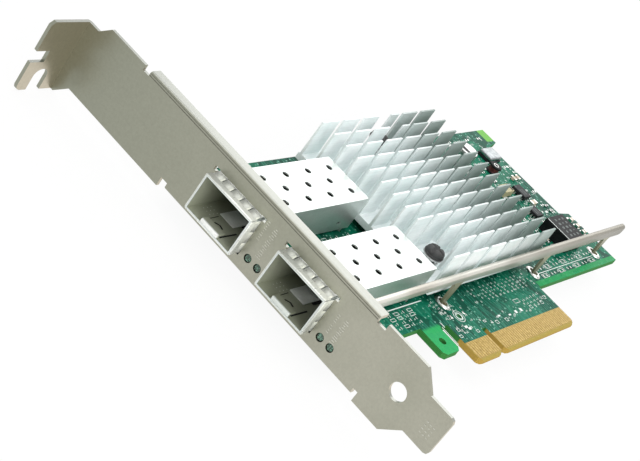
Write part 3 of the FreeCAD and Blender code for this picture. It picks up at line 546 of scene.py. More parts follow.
@dataclass(frozen=True)
class CastLens:
    """Clear cast epoxy over a lamp: glossy, tinted and cloudy, with the dark die showing through; the cloud's pale
    patches are also painted highlights.
    """

    name: str
    colour: str
    deep: tuple[float, float, float] = (0.12, 0.16, 0.13)
    cloud_mm: float = 0.55

    def material(self) -> bpy.types.Material:
        """Builds the material.

        Returns:
            The new material.
        """
        base = Surface(self.name)
        node, pale = base.node, linear(self.colour)
        cloud_and_highlights = node("TexNoise", {"Vector": base.place, "Scale": per_metre(self.cloud_mm), "Detail": 2.0})
        dark = (*(part * share for part, share in zip(pale, self.deep)), 1.0)
        return base.close({"Base Color": node("ValToRGB", (cloud_and_highlights,), stops=((0.46, dark), (0.66, pale))),
                           "Roughness": node("ValToRGB", (cloud_and_highlights,), stops=((0.3, 0.12), (0.7, 0.22))),
                           "Transmission Weight": 0.35, "Coat Weight": 0.5})


# ---------------------------------------------------------------- mesh tools
@dataclass
class Maker:
    """Collects faces for one piece, then makes its object, on the frame's root body."""

    name: str
    mesh: bmesh.types.BMesh = field(default_factory=bmesh.new)

    def corners(self, points: Iterable[Vector]) -> list[bmesh.types.BMVert]:
        """Adds loose corners."""
        return [self.mesh.verts.new(point) for point in points]

    def face(self, points: Iterable[Vector]) -> None:
        """Adds one face through the points."""
        self.mesh.faces.new(self.corners(points))

    def ease(self, edges: Iterable[bmesh.types.BMEdge], bevel: float, steps: int) -> None:
        """Rounds edges over.

        Args:
            edges: The edges.
            bevel: How far they are eased, in millimetres.
            steps: How many faces each gets.
        """
        if bevel > 0:
            bmesh.ops.bevel(self.mesh, geom=list(set(edges)), offset=bevel * MM, segments=steps, affect="EDGES",
                            profile=0.5)

    def slab(self, low: Vector, high: Vector, bevel: float = 0.0, steps: int = 1) -> None:
        """Adds a block with eased edges.

        Args:
            low: Its lowest corner, in metres.
            high: Its highest corner.
            bevel: How far the edges are eased, in millimetres.
            steps: How many faces each eased edge has.
        """
        made = bmesh.ops.create_cube(self.mesh, size=1.0)["verts"]
        for vert in made:
            vert.co = Vector([low[i] + (vert.co[i] + 0.5) * (high[i] - low[i]) for i in range(3)])
        self.ease((edge for vert in made for edge in vert.link_edges), bevel, steps)

    def rows(self, rings: Sequence[Sequence[Vector]], closed: bool = True) -> list[list[bmesh.types.BMVert]]:
        """Skins rings of points, each as long as the others.

        Args:
            rings: The rings, in order.
            closed: Joins each ring's last point to its first.

        Returns:
            The corners of each ring.
        """
        made = [self.corners(ring) for ring in rings]
        count = len(made[0])
        for row, after in zip(made, made[1:]):
            for i in range(count if closed else count - 1):
                j = (i + 1) % count
                self.mesh.faces.new([row[i], row[j], after[j], after[i]])
        return made

    def ring(self, centre: Vector, inner: float, outer: float, rise: float, sides: int) -> None:
        """Adds a flat ring, or one whose inner edge is raised, in millimetres about a point in metres."""
        self.lathe(centre, ((outer, 0.0), (inner, rise)), sides)

    def disc(self, centre: Vector, radius: float, sides: int) -> None:
        """Adds a flat disc, in millimetres about a point in metres."""
        self.face(centre + mm(math.cos(a) * radius, math.sin(a) * radius) for a in turns(sides))

    def lathe(self, centre: Vector, profile: Profile, sides: int, stretch: float = 1.0) -> None:
        """Turns a profile of radius and height, in millimetres, about a vertical line.

        Args:
            centre: The foot of the line, in metres.
            profile: Radius and height of each step.
            sides: How many faces go round.
            stretch: How much longer the turn is along Y.
        """
        self.rows([[centre + mm(math.cos(a) * r, math.sin(a) * r * stretch, h) for a in turns(sides)]
                   for r, h in profile])

    def ribbon(self, points: Sequence[Vector], width: float) -> None:
        """Adds a flat line with mitred corners, facing up.

        Args:
            points: Its middle line, in metres.
            width: How wide it is, in millimetres.
        """
        pairs = []
        for place, point in enumerate(points):
            last = place == len(points) - 1
            into = point - points[place - 1] if place else points[1] - point
            onward = into if last else points[place + 1] - point
            a, b = into.normalized(), onward.normalized()
            side = Vector((-a.y, a.x, 0.0))
            miter = (side + Vector((-b.y, b.x, 0.0))).normalized()
            reach = width * MM / 2 / max(miter.dot(side), 0.4)
            pairs.append(self.corners((point - miter * reach, point + miter * reach)))
        for first, second in zip(pairs, pairs[1:]):
            self.mesh.faces.new([first[0], second[0], second[1], first[1]])

    def tube(self, points: Sequence[Vector], radius: float, sides: int) -> None:
        """Adds a round wire with closed ends.

        Args:
            points: Its middle line, in metres.
            radius: Half its thickness, in metres.
            sides: How many faces go round.
        """
        rings = []
        for place, point in enumerate(points):
            lead = (points[min(place + 1, len(points) - 1)] - points[max(place - 1, 0)]).normalized()
            helper = Vector((0.0, 0.0, 1.0)) if abs(lead.z) < 0.9 else Vector((1.0, 0.0, 0.0))
            first = lead.cross(helper).normalized()
            second = lead.cross(first).normalized()
            rings.append([point + (first * math.cos(a) + second * math.sin(a)) * radius for a in turns(sides)])
        made = self.rows(rings)
        self.mesh.faces.new(made[0][::-1])
        self.mesh.faces.new(made[-1])

    def prism(self, outline: Sequence[Vector], along: Vector, bevel: float = 0.0) -> None:
        """Extrudes a flat outline and eases its edges.

        Args:
            outline: Its corners, in metres.
            along: How far and which way it is extruded.
            bevel: How far the edges are eased, in millimetres.
        """
        near = self.corners(outline)
        far = self.corners(point + along for point in outline)
        made = [self.mesh.faces.new(near), self.mesh.faces.new(far[::-1])]
        for i in range(len(near)):
            j = (i + 1) % len(near)
            made.append(self.mesh.faces.new([near[j], near[i], far[i], far[j]]))
        self.ease((edge for face in made for edge in face.edges), bevel, 2)

    def finish(self, material: str, slot: str, smooth: bool = False) -> bpy.types.Object:
        """Makes the object and sets it on the frame.

        Args:
            material: The name of the piece's finish.
            slot: The record's material slot that the finish belongs to; not used.
            smooth: Shades the faces smooth.

        Returns:
            The new object.
        """
        bmesh.ops.recalc_face_normals(self.mesh, faces=self.mesh.faces[:])
        for face in self.mesh.faces:
            face.smooth = smooth
        data = bpy.data.meshes.new(self.name)
        self.mesh.to_mesh(data)
        self.mesh.free()
        data.materials.append(bpy.data.materials[material])
        piece = bpy.data.objects.new(self.name, data)
        bpy.context.scene.collection.objects.link(piece)
        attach(piece, "root")
        LOG.info("made %s with %d faces", self.name, len(data.polygons))
        return piece


def dress(frame: dict[str, Any], rows: Iterable[tuple[Any, Sequence[str]]]) -> None:
    """Gives CAD nodes a finish in place of their plain one.

    Args:
        frame: The loaded frame.
        rows: Each finish with the nodes that get it.
    """
    for finish, nodes in rows:
        material = finish.material()
        for name in nodes:
            for holder in frame["nodes"][name].material_slots:
                holder.material = material
            LOG.info("dressed %s with %s", name, material.name)


def solids(frame: dict[str, Any], node: str) -> list[tuple[Vector, Vector]]:
    """The box of each separate solid of a node, from lowest X up.

    Args:
        frame: The loaded frame.
        node: The node's name.

    Returns:
        Pairs of lowest and highest corners, in metres.
    """
    made = bmesh.new()
    made.from_mesh(frame["nodes"][node].data)
    bmesh.ops.remove_doubles(made, verts=made.verts[:], dist=1e-6)
    left = set(made.verts)
    boxes = []
    while left:
        found = [left.pop()]
        for vert in found:
            near = {end for edge in vert.link_edges for end in edge.verts} & left
            left -= near
            found.extend(near)
        low, high = (Vector([pick(v.co[i] for v in found) for i in range(3)]) for pick in (min, max))
        boxes.append((low, high))
    made.free()
    return sorted(boxes, key=lambda pair: (round(pair[0].x, 6), round(pair[0].y, 6)))


@dataclass
class BoardPlan:
    """Places on the board, in millimetres from the bracket's face and from the top of its tab."""

    board_rear: float = 1.9
    finger_tip: float = -105.7
    zero: Vector = field(default_factory=Vector)

    def __post_init__(self) -> None:
        """Takes the zero point from the board's own box."""
        low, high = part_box("circuit_board")
        self.zero = Vector((low.x - self.board_rear * MM, low.y - self.finger_tip * MM, high.z))

    def at(self, across: float, along: float, rise: float = 0.0) -> Vector:
        """A point this far above the board's face, in metres."""
        return self.zero + mm(across, along, rise)

    def box(self, node: str) -> tuple[Vector, Vector]:
        """The lowest and highest corners of a node, in the plan's millimetres."""
        low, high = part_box(node)
        return (low - self.zero) / MM, (high - self.zero) / MM


# ---------------------------------------------------------------- the studio
@dataclass
class Studio:
    """A pale floor, soft lamps, a pale room and the camera, in metres, degrees and watts."""

    place: tuple[float, float, float] = (-0.31518, -0.06886, 0.158885)
    turn: tuple[float, float, float] = (57.7125, -32.0834, -49.9375)
    lens: float = 86.18
    aim: tuple[float, float, float] = (0.02, 0.03, 0.0)
    lamps: tuple[tuple[str, tuple[float, float, float], float, float], ...] = (
        ("overhead", (0.05, 0.10, 0.75), 0.7, 2.2), ("beyond", (0.75, 0.25, 0.45), 0.6, 1.6),
        ("fill", (-0.45, -0.55, 0.35), 0.5, 3.4))
    rising: tuple[tuple[float, float], ...] = ((0.40, 0.50), (0.55, 0.62), (0.85, 0.74))
    receding: tuple[tuple[float, float], ...] = ((0.2, 0.86), (0.8, 1.0))
    floor_gap: float = 0.0004
    floor_half: float = 3.0
    paper_glow: float = 0.93

    def stand(self, name: str, data: Any, place: Sequence[float] = (0.0, 0.0, 0.0)) -> bpy.types.Object:
        """Puts one thing in the scene.

        Args:
            name: Its name.
            data: Its camera, lamp or mesh.
            place: Where it stands, in metres.

        Returns:
            The new object.
        """
        item = bpy.data.objects.new(name, data)
        item.location = place
        bpy.context.scene.collection.objects.link(item)
        return item

    def camera(self) -> None:
        """Sets the camera."""
        data = bpy.data.cameras.new("camera")
        data.lens = self.lens
        data.sensor_width = 36.0
        data.clip_start = 0.01
        item = self.stand("camera", data, self.place)
        item.rotation_euler = [math.radians(a) for a in self.turn]
        bpy.context.scene.camera = item

    def light(self) -> None:
        """Adds the square soft lamps, each pointed at the card."""
        for name, place, size, watts in self.lamps:
            data = bpy.data.lights.new(name, "AREA")
            data.shape = "SQUARE"
            data.size = size
            data.energy = watts
            way = Vector(self.aim) - Vector(place)
            self.stand(name, data, place).rotation_euler = way.to_track_quat("-Z", "Y").to_euler()

    def room(self) -> None:
        """Lights the room: brighter overhead for the card, paler beyond the far end as a backdrop."""
        world = bpy.data.worlds.new("pale_room")
        bpy.context.scene.world = world
        world.use_nodes = True
        world.node_tree.nodes.clear()
        node = partial(add, world.node_tree)
        ways = node("SeparateXYZ", (node("TexCoord", out="Generated"),)).node.outputs
        tones = []
        for way, stops in ((ways[2], self.rising), (ways[0], self.receding)):
            share = node("Math", (way, 0.5, 0.5), operation="MULTIPLY_ADD")
            tones.append(node("ValToRGB", (share,), stops=stops, ease=True))
        shown = node("Mix", {0: paper_seen(world.node_tree), 6: tones[0], 7: tones[1]}, 2, **COLOURS)
        node("OutputWorld", (node("Background", (shown, 1.0)),))

    def floor(self) -> None:
        """Lays the floor, which shows as white paper with a faint shadow."""
        low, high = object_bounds()
        middle, reach = (low + high) / 2, self.floor_half
        corners = [(middle.x + a * reach, middle.y + b * reach, low.z - self.floor_gap)
                   for a, b in ((-1, -1), (1, -1), (1, 1), (-1, 1))]
        data = bpy.data.meshes.new("paper_floor")
        data.from_pydata(corners, [], [(0, 1, 2, 3)])
        base = Surface("white_paper")
        node = base.node
        fibre = node("TexNoise", {"Vector": base.place, "Scale": per_metre(1.5), "Detail": 3.0})
        paper = node("ValToRGB", (fibre,), stops=((0.3, linear("F0F0EE")), (0.7, linear("F8F8F6"))))
        data.materials.append(base.close({"Base Color": paper, "Roughness": 0.9}))
        share = node("Math", (paper_seen(base.tree), self.paper_glow), operation="MULTIPLY")
        glow = node("Emission", (linear("FFFFFF"), 1.0))
        mixed = node("MixShader", (share, base.shader.outputs[0], glow))
        feed(base.tree, base.tree.nodes["Material Output"], (mixed,))
        item = self.stand("paper_floor", data)
        item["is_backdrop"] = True

    def build(self) -> None:
        """Sets the whole studio."""
        bpy.context.scene.view_settings.view_transform = "Standard"
        self.camera()
        self.room()
        self.floor()
        self.light()


# ---------------------------------------------------------------- finishes on the CAD solids
@dataclass
class MetalWork:
    """The bracket, cages, gaskets and rail, in their own sheet finishes."""

    frame: dict[str, Any]

    def dress(self) -> None:
        """Finishes the CAD nodes."""
        low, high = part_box("mounting_bracket")
        length = high.y - low.y
        # painted shade: the bracket greys towards its top
        painted_shade_to_top = Fade(Along.Y, high.y - length * 0.75, high.y - length * 0.1, "9A9C8D")
        low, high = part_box("stiffener_rail")
        # painted shade: the rail darkens towards its far end
        far_end_painted_shade = Fade(Along.X, low.x + 40 * MM, high.x, "8B877B")
        dress(self.frame, (
            # warm satin nickel, with painted shade greying it towards its top, and painted light on faces by which
            # way they turn: pale on its bends
            (RolledSheet("nickel_plated_steel", "B4B3A4", "A8A898", 0.34, Along.Y, 0.5, fade=painted_shade_to_top, bloom_and_facing_light=0.8),
             ("mounting_bracket",)),
            # near-white plate with soft reflections along the cage
            (RolledSheet("tin_plated_steel", "E6ECE9", "D8DFDB", 0.34, Along.X, 0.3, 0.003, 0.6, 0.72),
             ("module_cage_upper", "module_cage_lower")),
            # white satin zinc with painted shade that darkens it to brown-grey at the far end
            (RolledSheet("zinc_plated_steel", "DFDDD4", "B5B0A4", 0.36, Along.X, 0.4, 0.02, 0.4, 0.6, far_end_painted_shade),
             ("stiffener_rail",)),
            # the whitest and brightest sheet, so that thin fingers read
            (RolledSheet("plated_spring_bronze", "F0F2EC", "DDE0D8", 0.3, Along.X, 0.3, 0.003, 0.6, 0.45),
             ("cage_gasket_upper", "cage_gasket_lower"))))


@dataclass
class Cooler:
    """The heat sink, its push pins and their springs, with the moulded chips and the pad."""

    frame: dict[str, Any]

    def dress(self) -> None:
        """Finishes the CAD nodes."""
        low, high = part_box("heat_sink")
        # painted shade: the heat sink greys towards its far end
        far_end_painted_shade = Fade(Along.X, low.x + (high.x - low.x) * 0.45, high.x, "8E9E98")
        dress(self.frame, (
            # pale chalky satin, greyer on the side away from the light
            (AnodisedAluminium(far_end_painted_shade), ("heat_sink",)),
            # near-black with a dim sheen on the domes
            (MouldedResin("black_nylon", "08090A", "16191A", 0.45, 0.3, 0.01, 0.12), ("push_pins",)),
            # bright round wire and washers
            (PlatedMetal("spring_steel", "C9C8C2", "A3A29B", 0.28, 0.3, 0.004), ("push_pin_springs",)),
            # charcoal, matt, with fine grey filler
            (MouldedResin("chip_epoxy", "191C1D", "303435", 0.5, 0.25, 0.012, 0.2),
             ("controller_chip", "regulator_chip", "driver_chip")),
            # pale blue-grey and dull, like putty
            (MouldedResin("filled_silicone", "A9B3B8", "C3CBCE", 0.7, 0.4, 0.02), ("thermal_pad",))))


@dataclass
class Populated:
    """The board itself and the smaller parts on it."""

    frame: dict[str, Any]
    plan: BoardPlan

    def dress(self) -> None:
        """Finishes the CAD nodes."""
        dress(self.frame, (
            # the green board, with tracks and laminate under its mask
            (SolderMask(self.plan), ("circuit_board",)),
            # soft brushed gold, not mirror-bright
            (PlatedMetal("hard_gold_plate", "AC9150", "8E7438", 0.4, 0.8, 0.004, 0.8),
             ("edge_contacts_component_side", "edge_contacts_solder_side")),
            # silvery, wet-looking and slightly lumpy
            (PlatedMetal("tin_solder", "E9EAE6", "B9BBB6", 0.22, 0.7, 0.03), ("rail_solder_joints",)),
            # dark grey plastic in the cages' shade
            (MouldedResin("black_lcp", "23282A", "3A4042", 0.5), ("host_connector_upper", "host_connector_lower")),
            # cloudy green lenses with a dark middle; the cloud's pale patches are painted highlights
            (CastLens("lamp_epoxy", "7FB79C"), ("status_lamps",)),
            # black and stony
            (MouldedResin("moulded_ferrite", "0E1011", "202425", 0.5, 0.35, 0.02, 0.15), ("power_inductor",)),
            # a mid-grey lid with a smooth shine
            (PlatedMetal("kovar_lid", "A7ACAD", "8B9092", 0.35, 1.2, 0.006), ("clock_oscillator",)),
            # dark red-brown turns of wire
            (MouldedResin("enamelled_copper", "43191A", "6E2E2A", 0.35, 0.5, 0.03), ("drum_inductor",)),
            # a bright, smooth can
            (PlatedMetal("drawn_aluminium_can", "DADCD9", "BDBFBC", 0.25, 1.5, 0.003), ("electrolytic_capacitor",)),
            # a sandy yellow moulding
            (MouldedResin("tan_epoxy", "B9B189", "CFC8A0", 0.55, 0.4, 0.015), ("tantalum_capacitor",)),
            # bright leads, finely brushed
            (PlatedMetal("tinned_copper", "DCDDD8", "B7B9B4", 0.3, 0.3, 0.004),
             ("regulator_chip_leads", "driver_chip_leads")),
            # a light tan body
            (MouldedResin("capacitor_ceramic", "B39B7B", "C9B596", 0.45, 0.4, 0.01), ("ceramic_capacitors",)),
            # a dark, slightly glossy glaze
            (MouldedResin("resistor_glaze", "22262A", "33383C", 0.3, 0.3, 0.01), ("chip_resistors",))))


# ---------------------------------------------------------------- what the board carries
class Ink(Enum):
    """The kinds of plain printed mark, none of them a letter."""

    OUTLINE = "outline"
    TICKS = "ticks"
    BAR = "bar"


@dataclass
class BoardArt:
    """Copper runs, vias, bare pads and printed marks on the component side.

    Runs, vias and strokes are drawn up to about twice as wide as the real ones, which are too fine to show.
    """

    plan: BoardPlan
    film: float = 0.025
    via_radius: float = 0.3
    via_drill: float = 0.13
    pad_solder: float = 0.06
    seed: int = 11
    contact_top: float = -99.9
    far_limit: float = 143.0
    hole: tuple[float, float] = (54.1, -92.9)
    runs: Maker = field(default_factory=partial(Maker, "copper_runs"))
    vias: Maker = field(default_factory=partial(Maker, "via_rings"))
    drills: Maker = field(default_factory=partial(Maker, "via_hole_shade_discs"))
    pads: Maker = field(default_factory=partial(Maker, "bare_pads"))
    ink: Maker = field(default_factory=partial(Maker, "printed_marks"))

    def run(self, stops: Sequence[tuple[float, float]], width: float) -> None:
        """Lays one copper run through the stops, in board millimetres."""
        self.runs.ribbon([self.plan.at(a, b, self.film) for a, b in stops], width)

    def via(self, across: float, along: float, radius: float = 0.0) -> None:
        """Adds one plated via with its drilled middle.

        Args:
            across: Its middle across, in board millimetres.
            along: Its middle along.
            radius: Its size, where it isn't the usual one.
        """
        outer = radius or self.via_radius
        inner = outer * self.via_drill / self.via_radius
        centre = self.plan.at(across, along, self.film * 1.6)
        self.vias.ring(centre, inner, outer, 0.004, 10)
        # a dark disc of painted shade for the hole
        self.drills.disc(centre + mm(0.0, 0.0, 0.003), inner, 8)

    def pad(self, across: float, along: float, wide: float, long: float) -> None:
        """Adds one bare pad with a little solder on it.

        Args:
            across: Its middle across, in board millimetres.
            along: Its middle along.
            wide: Its width across.
            long: Its length along.
        """
        half = mm(wide, long) / 2
        low = self.plan.at(across, along) - half
        self.pads.slab(low, low + half * 2 + mm(0.0, 0.0, self.pad_solder), self.pad_solder / 2)

    def stroke(self, stops: Sequence[tuple[float, float]], width: float) -> None:
        """Prints one white line through the stops."""
        self.ink.ribbon([self.plan.at(a, b, self.film * 2) for a, b in stops], width)

    def mark(self, kind: Ink, across: float, along: float, wide: float, tall: float) -> None:
        """Prints one plain mark about a point.

        Args:
            kind: Which mark.
            across: Its middle across, in board millimetres.
            along: Its middle along.
            wide: Its width.
            tall: Its height.
        """
        left, right = across - wide / 2, across + wide / 2
        low, high = along - tall / 2, along + tall / 2
        if kind is Ink.OUTLINE:
            self.stroke([(left + 0.1, low), (right, low), (right, high), (left, high), (left, low)], 0.14)
        elif kind is Ink.TICKS:
            count = max(2, int(wide / 0.62))
            for place in range(count):
                spot = left + wide * (place + 0.5) / count
                self.stroke([(spot, low), (spot, high if place % 3 else (low + high) / 2)], 0.2)
        else:
            self.stroke([(left, along), (right, along)], tall)

    def connector_side(self) -> None:
        """The approach to the edge contacts: fanned pairs, via rows and the ticks over the contacts."""
        chance = random.Random(self.seed)
        for place in range(49):
            spot = 47.55 + place + (2.0 if place > 10 else 0.0)
            lean = (spot - 60.0) * -0.17 if spot > 60 else (60.0 - spot) * 0.06
            rise = -97.6 + 0.9 * (place % 3)
            if place % 4 == 3:
                self.run([(spot, self.contact_top), (spot, rise)], 0.28)
                self.via(spot, rise + 0.2)
                continue
            top = -88.0 - chance.choice((0.0, 0.0, 1.4, 3.1))
            self.run([(spot, self.contact_top), (spot, rise), (spot + lean * 0.6, rise + 3.4),
                      (spot + lean, -91.2), (spot + lean, top)], 0.2)
            if top < -88.5:
                self.via(spot + lean, top + 0.2)
        for row in range(5):
            for place in range(15):
                if chance.random() < 0.72:
                    self.via(66.5 + place * 2.1 + row * 0.35 + chance.uniform(-0.15, 0.15),
                             -87.3 - row * 0.95 + chance.uniform(-0.1, 0.1))
        for row, (low, high, step) in enumerate(((48.0, 57.0, 1.5), (62.0, 97.0, 2.3))):
            spot = low
            while spot < high:
                self.mark(chance.choice((Ink.TICKS, Ink.OUTLINE, Ink.BAR, Ink.TICKS)), spot,
                          -98.2 + chance.uniform(0.0, 2.4), 1.1, chance.choice((0.5, 0.9)) if row else 0.7)
                spot += step * chance.uniform(0.55, 1.0)
        for _ in range(16):
            self.mark(Ink.TICKS, 49.0 + chance.uniform(0, 9), -97.0 + chance.uniform(0, 8.0), 1.3, 0.55)
        self.mark(Ink.OUTLINE, 82.4, -94.2, 2.6, 1.1)
        for place in range(5):
            self.mark(Ink.TICKS, 85.6 + place * 2.1, -94.6 + 0.12 * place, 1.6, 0.75)
            self.mark(Ink.TICKS, 86.0 + place * 2.0, -95.9 + 0.1 * place, 1.4, 0.55)
        self.stroke([(45.1, -94.4), (45.1, -92.9)], 0.3)
        self.stroke([(44.2, -94.1), (44.2, -99.6)], 0.22)

    def test_ring(self) -> None:
        """The plated ring round the drilled hole near the contacts, in a printed circle between two pads."""
        across, along = self.hole
        self.vias.ring(self.plan.at(across, along, self.film * 2), 0.8, 1.25, 0.0, 24)
        self.stroke([(across + 1.75 * math.cos(a), along + 1.75 * math.sin(a)) for a in turns(24) + [math.tau]], 0.16)
        for side in (-3.0, 3.0):
            self.pad(across + side, along + 0.5, 0.6, 1.1)

    def strip_left(self) -> None:
        """The strip between the bracket and the hook tab."""
        chance = random.Random(self.seed + 1)
        self.stroke([(30.6, -85.85), (45.7, -85.85)], 0.3)
        self.stroke([(4.0, -85.85), (22.5, -85.85)], 0.3)
        for place in range(4):
            for row in range(4):
                self.mark(chance.choice((Ink.TICKS, Ink.TICKS, Ink.OUTLINE)),
                          29.6 + place * 2.9 + chance.uniform(-0.4, 0.4), -87.2 - row * 1.25, 1.8, 0.75)
        for place in range(9):
            self.via(6.0 + place * 2.6, -90.9 + chance.uniform(-0.7, 0.7))
        for along in (-0.6 * place for place in range(5)):
            self.run([(5.0, along - 87.0), (18.0, along - 87.0), (20.0, along - 89.0), (30.0, along - 89.0)], 0.2)
        for _ in range(10):
            self.mark(Ink.TICKS, 46.6 + chance.uniform(0, 3.6), -86.6 - chance.uniform(0, 6.0), 1.2, 0.6)

    def strip_right(self) -> None:
        """The strip under the rail's far end: two rows of bare chip places with their marks."""
        for place in range(7):
            spot = 105.2 + place * 5.0
            for row, along in enumerate((-87.7, -90.1)):
                self.pad(spot, along, 0.5, 0.75)
                self.pad(spot + 1.9, along, 0.5, 0.75)
                if (place + row) % 2:
                    self.mark(Ink.OUTLINE, spot + 0.95, along, 3.2, 1.2)
                else:
                    self.mark(Ink.TICKS, spot + 3.6, along + 0.15, 0.9, 0.6)
        self.stroke([(103.6, -88.9), (138.4, -88.9)], 0.2)
        for place in range(15):
            self.via(103.0 + place * 2.35, -86.3 - 0.25 * (place % 2))

    def far_end(self) -> None:
        """The crowded end beyond the heat sink."""
        chance = random.Random(self.seed + 2)
        for place in range(26):
            along = -42.0 - place * 1.62
            start = 101.6 + chance.uniform(0.0, 3.0)
            bend = start + chance.uniform(3.0, 12.0)
            step = chance.choice((-1.6, 1.6, 3.2))
            stop = min(bend + 14.0, self.far_limit)
            self.run([(start, along), (bend, along), (bend + abs(step), along + step), (stop, along + step)], 0.22)
            self.via(start, along)
            self.via(stop, along + step)
        for _ in range(300):
            self.via(chance.uniform(102.0, self.far_limit), chance.uniform(-84.0, -39.0))
        for _ in range(70):
            self.mark(chance.choice((Ink.TICKS, Ink.OUTLINE, Ink.BAR, Ink.TICKS, Ink.OUTLINE)),
                      chance.uniform(104.0, 142.5), chance.uniform(-84.0, -39.0), chance.uniform(1.2, 2.4),
                      chance.choice((0.4, 0.8, 1.1)))
        for _ in range(84):
            across, along = chance.uniform(103.0, 142.6), chance.uniform(-84.0, -39.0)
            self.pad(across, along, 0.55, 0.8)
            self.pad(across + 1.2, along, 0.55, 0.8)
        for place in range(6):
            self.pad(146.4, -74.9 - place * 1.35, 1.5, 0.75)

    def top_strip(self) -> None:
        """The strip behind the upper cage."""
        chance = random.Random(self.seed + 3)
        for place in range(14):
            self.via(5.0 + place * 2.9, -39.6 - 1.4 * (place % 3), 0.34)
        for place in range(6):
            self.mark(Ink.TICKS, 7.0 + place * 6.6, -43.3 + chance.uniform(-0.2, 0.2), 2.0, 0.8)
        for place in range(6):
            along = -41.6 - 0.55 * place
            self.run([(4.0, along), (24.0 + place, along), (26.0 + place, along - 1.2), (44.5, along - 1.2)], 0.2)

    def between_cages(self) -> None:
        """The lane between the two cages."""
        chance = random.Random(self.seed + 4)
        for place in range(7):
            along = -63.0 - 0.95 * place
            self.run([(4.0, along), (12.0 + place, along), (13.2 + place, along - 0.8), (44.6, along - 0.8)], 0.22)
        for place in range(24):
            self.via(6.0 + place * 1.6, chance.choice((-62.4, -64.0, -66.4, -69.0)))
        for place in range(15):
            self.mark(chance.choice((Ink.TICKS, Ink.OUTLINE, Ink.TICKS)), 7.0 + place * 2.5,
                      chance.choice((-63.2, -66.3, -69.2)), 1.7, 0.8)

    def build(self) -> None:
        """Makes the five pieces."""
        for zone in (self.connector_side, self.test_ring, self.strip_left, self.strip_right, self.far_end,
                     self.top_strip, self.between_cages):
            zone()
        for finish in (
                # copper under the mask, a lighter green than the board
                MouldedResin("masked_copper", "258067", "3A9A7E", 0.4, 0.9, 0.004, 0.05),
                # pale silvery-green rings
                PlatedMetal("tinned_via", "D5E4DC", "A9BFB4", 0.36, 0.4, 0.004, 0.35),
                # painted shade: dark green discs for the depth of the via holes
                MouldedResin("via_hole_painted_shade", "12382F", "1E4A3E", 0.6),
                # matt white print, also the inductor's painted edge highlight
                MouldedResin("white_print_and_painted_highlight", "E9F2EC", "F8FCF9", 0.6, 0.2, 0.005)):
            finish.material()
        self.runs.finish("masked_copper", "green_laminate")
        self.vias.finish("tinned_via", "green_laminate")
        self.drills.finish("via_hole_painted_shade", "green_laminate")
        self.pads.finish("tin_solder", "solder", True)
        self.ink.finish("white_print_and_painted_highlight", "green_laminate")


@dataclass
class ChipParts:
    """Two-ended chip parts: a bevelled body between two tinned caps."""

    frame: dict[str, Any]
    cap_share: float = 0.24
    ease: float = 0.06

    def build_kind(self, node: str, material: str, slot: str) -> None:
        """Makes the bodies and the caps of one kind.

        Args:
            node: The CAD node whose solids give the places and sizes.
            material: The name of the bodies' finish.
            slot: The record's material slot.
        """
        bodies, caps = Maker(node + "_bodies"), Maker(node + "_caps")
        for low, high in solids(self.frame, node):
            size = high - low
            axis = 0 if size.x > size.y else 1
            cap = size[axis] * self.cap_share
            inset = Vector([cap * 0.9 if i == axis else self.ease * MM / 2 for i in range(3)])
            bodies.slab(low + inset, high - inset, self.ease)
            for end, edge in ((1, low[axis] + cap), (0, high[axis] - cap)):
                corners = (low.copy(), high.copy())
                corners[end][axis] = edge
                caps.slab(*corners, self.ease * 1.2, 2)
        piece = bodies.finish(material, slot)
        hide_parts(node)
        caps.finish("tin_solder", "solder", True)

    def build(self) -> None:
        """Makes both kinds."""
        self.build_kind("ceramic_capacitors", "capacitor_ceramic", "capacitor_ceramic")
        self.build_kind("chip_resistors", "resistor_glaze", "resistor_body")


@dataclass
class Coils:
    """The two springs under the push pins' heads, wound from round wire."""

    frame: dict[str, Any]
    winds: int = 3
    steps: int = 84
    wire: float = 0.28

    def build(self) -> None:
        """Makes both coils on the CAD springs' own boxes."""
        maker = Maker("push_pin_coils")
        wire = self.wire * MM
        for low, high in solids(self.frame, "push_pin_springs"):
            middle, radius = (low + high) / 2, (high.x - low.x) / 2 - wire
            points = []
            for share in (step / self.steps for step in range(self.steps + 1)):
                angle = math.tau * self.winds * share
                points.append(Vector((middle.x + radius * math.cos(angle), middle.y + radius * math.sin(angle),
                                      low.z + wire + (high.z - low.z - 2 * wire) * share)))
            maker.tube(points, wire, 10)
        piece = maker.finish("spring_steel", "spring_steel", True)
        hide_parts("push_pin_springs")


# ---------------------------------------------------------------- shaped pieces that stand for plain solids
def block(name: str, low: Vector, high: Vector, bevel: float, steps: int, finish: tuple[str, str],
          smooth: bool = False) -> bpy.types.Object:
    """Makes a piece of one eased block.

    Args:
        name: The piece's name.
        low: Its lowest corner, in metres.
        high: Its highest corner.
        bevel: How far the edges are eased, in millimetres.
        steps: How many faces each eased edge has.
        finish: The names of its finish and of its slot.
        smooth: Shades the faces smooth.

    Returns:
        The piece.
    """
    maker = Maker(name)
    maker.slab(low, high, bevel, steps)
    return maker.finish(*finish, smooth)


def turned(name: str, centres: Iterable[Vector], profiles: Iterable[Profile], sides: int, finish: tuple[str, str],
           stretch: float = 1.0) -> bpy.types.Object:
    """Makes a smooth piece of turned shapes.

    Args:
        name: The piece's name.
        centres: The foot of each line that the profiles turn about, in metres.
        profiles: The shapes made at each, as radius and height in millimetres.
        sides: How many faces go round.
        finish: The names of its finish and of its slot.
        stretch: How much longer the turn is along Y.

    Returns:
        The piece.
    """
    maker = Maker(name)
    for centre in centres:
        for profile in profiles:
            maker.lathe(centre, profile, sides, stretch)
    return maker.finish(*finish, True)


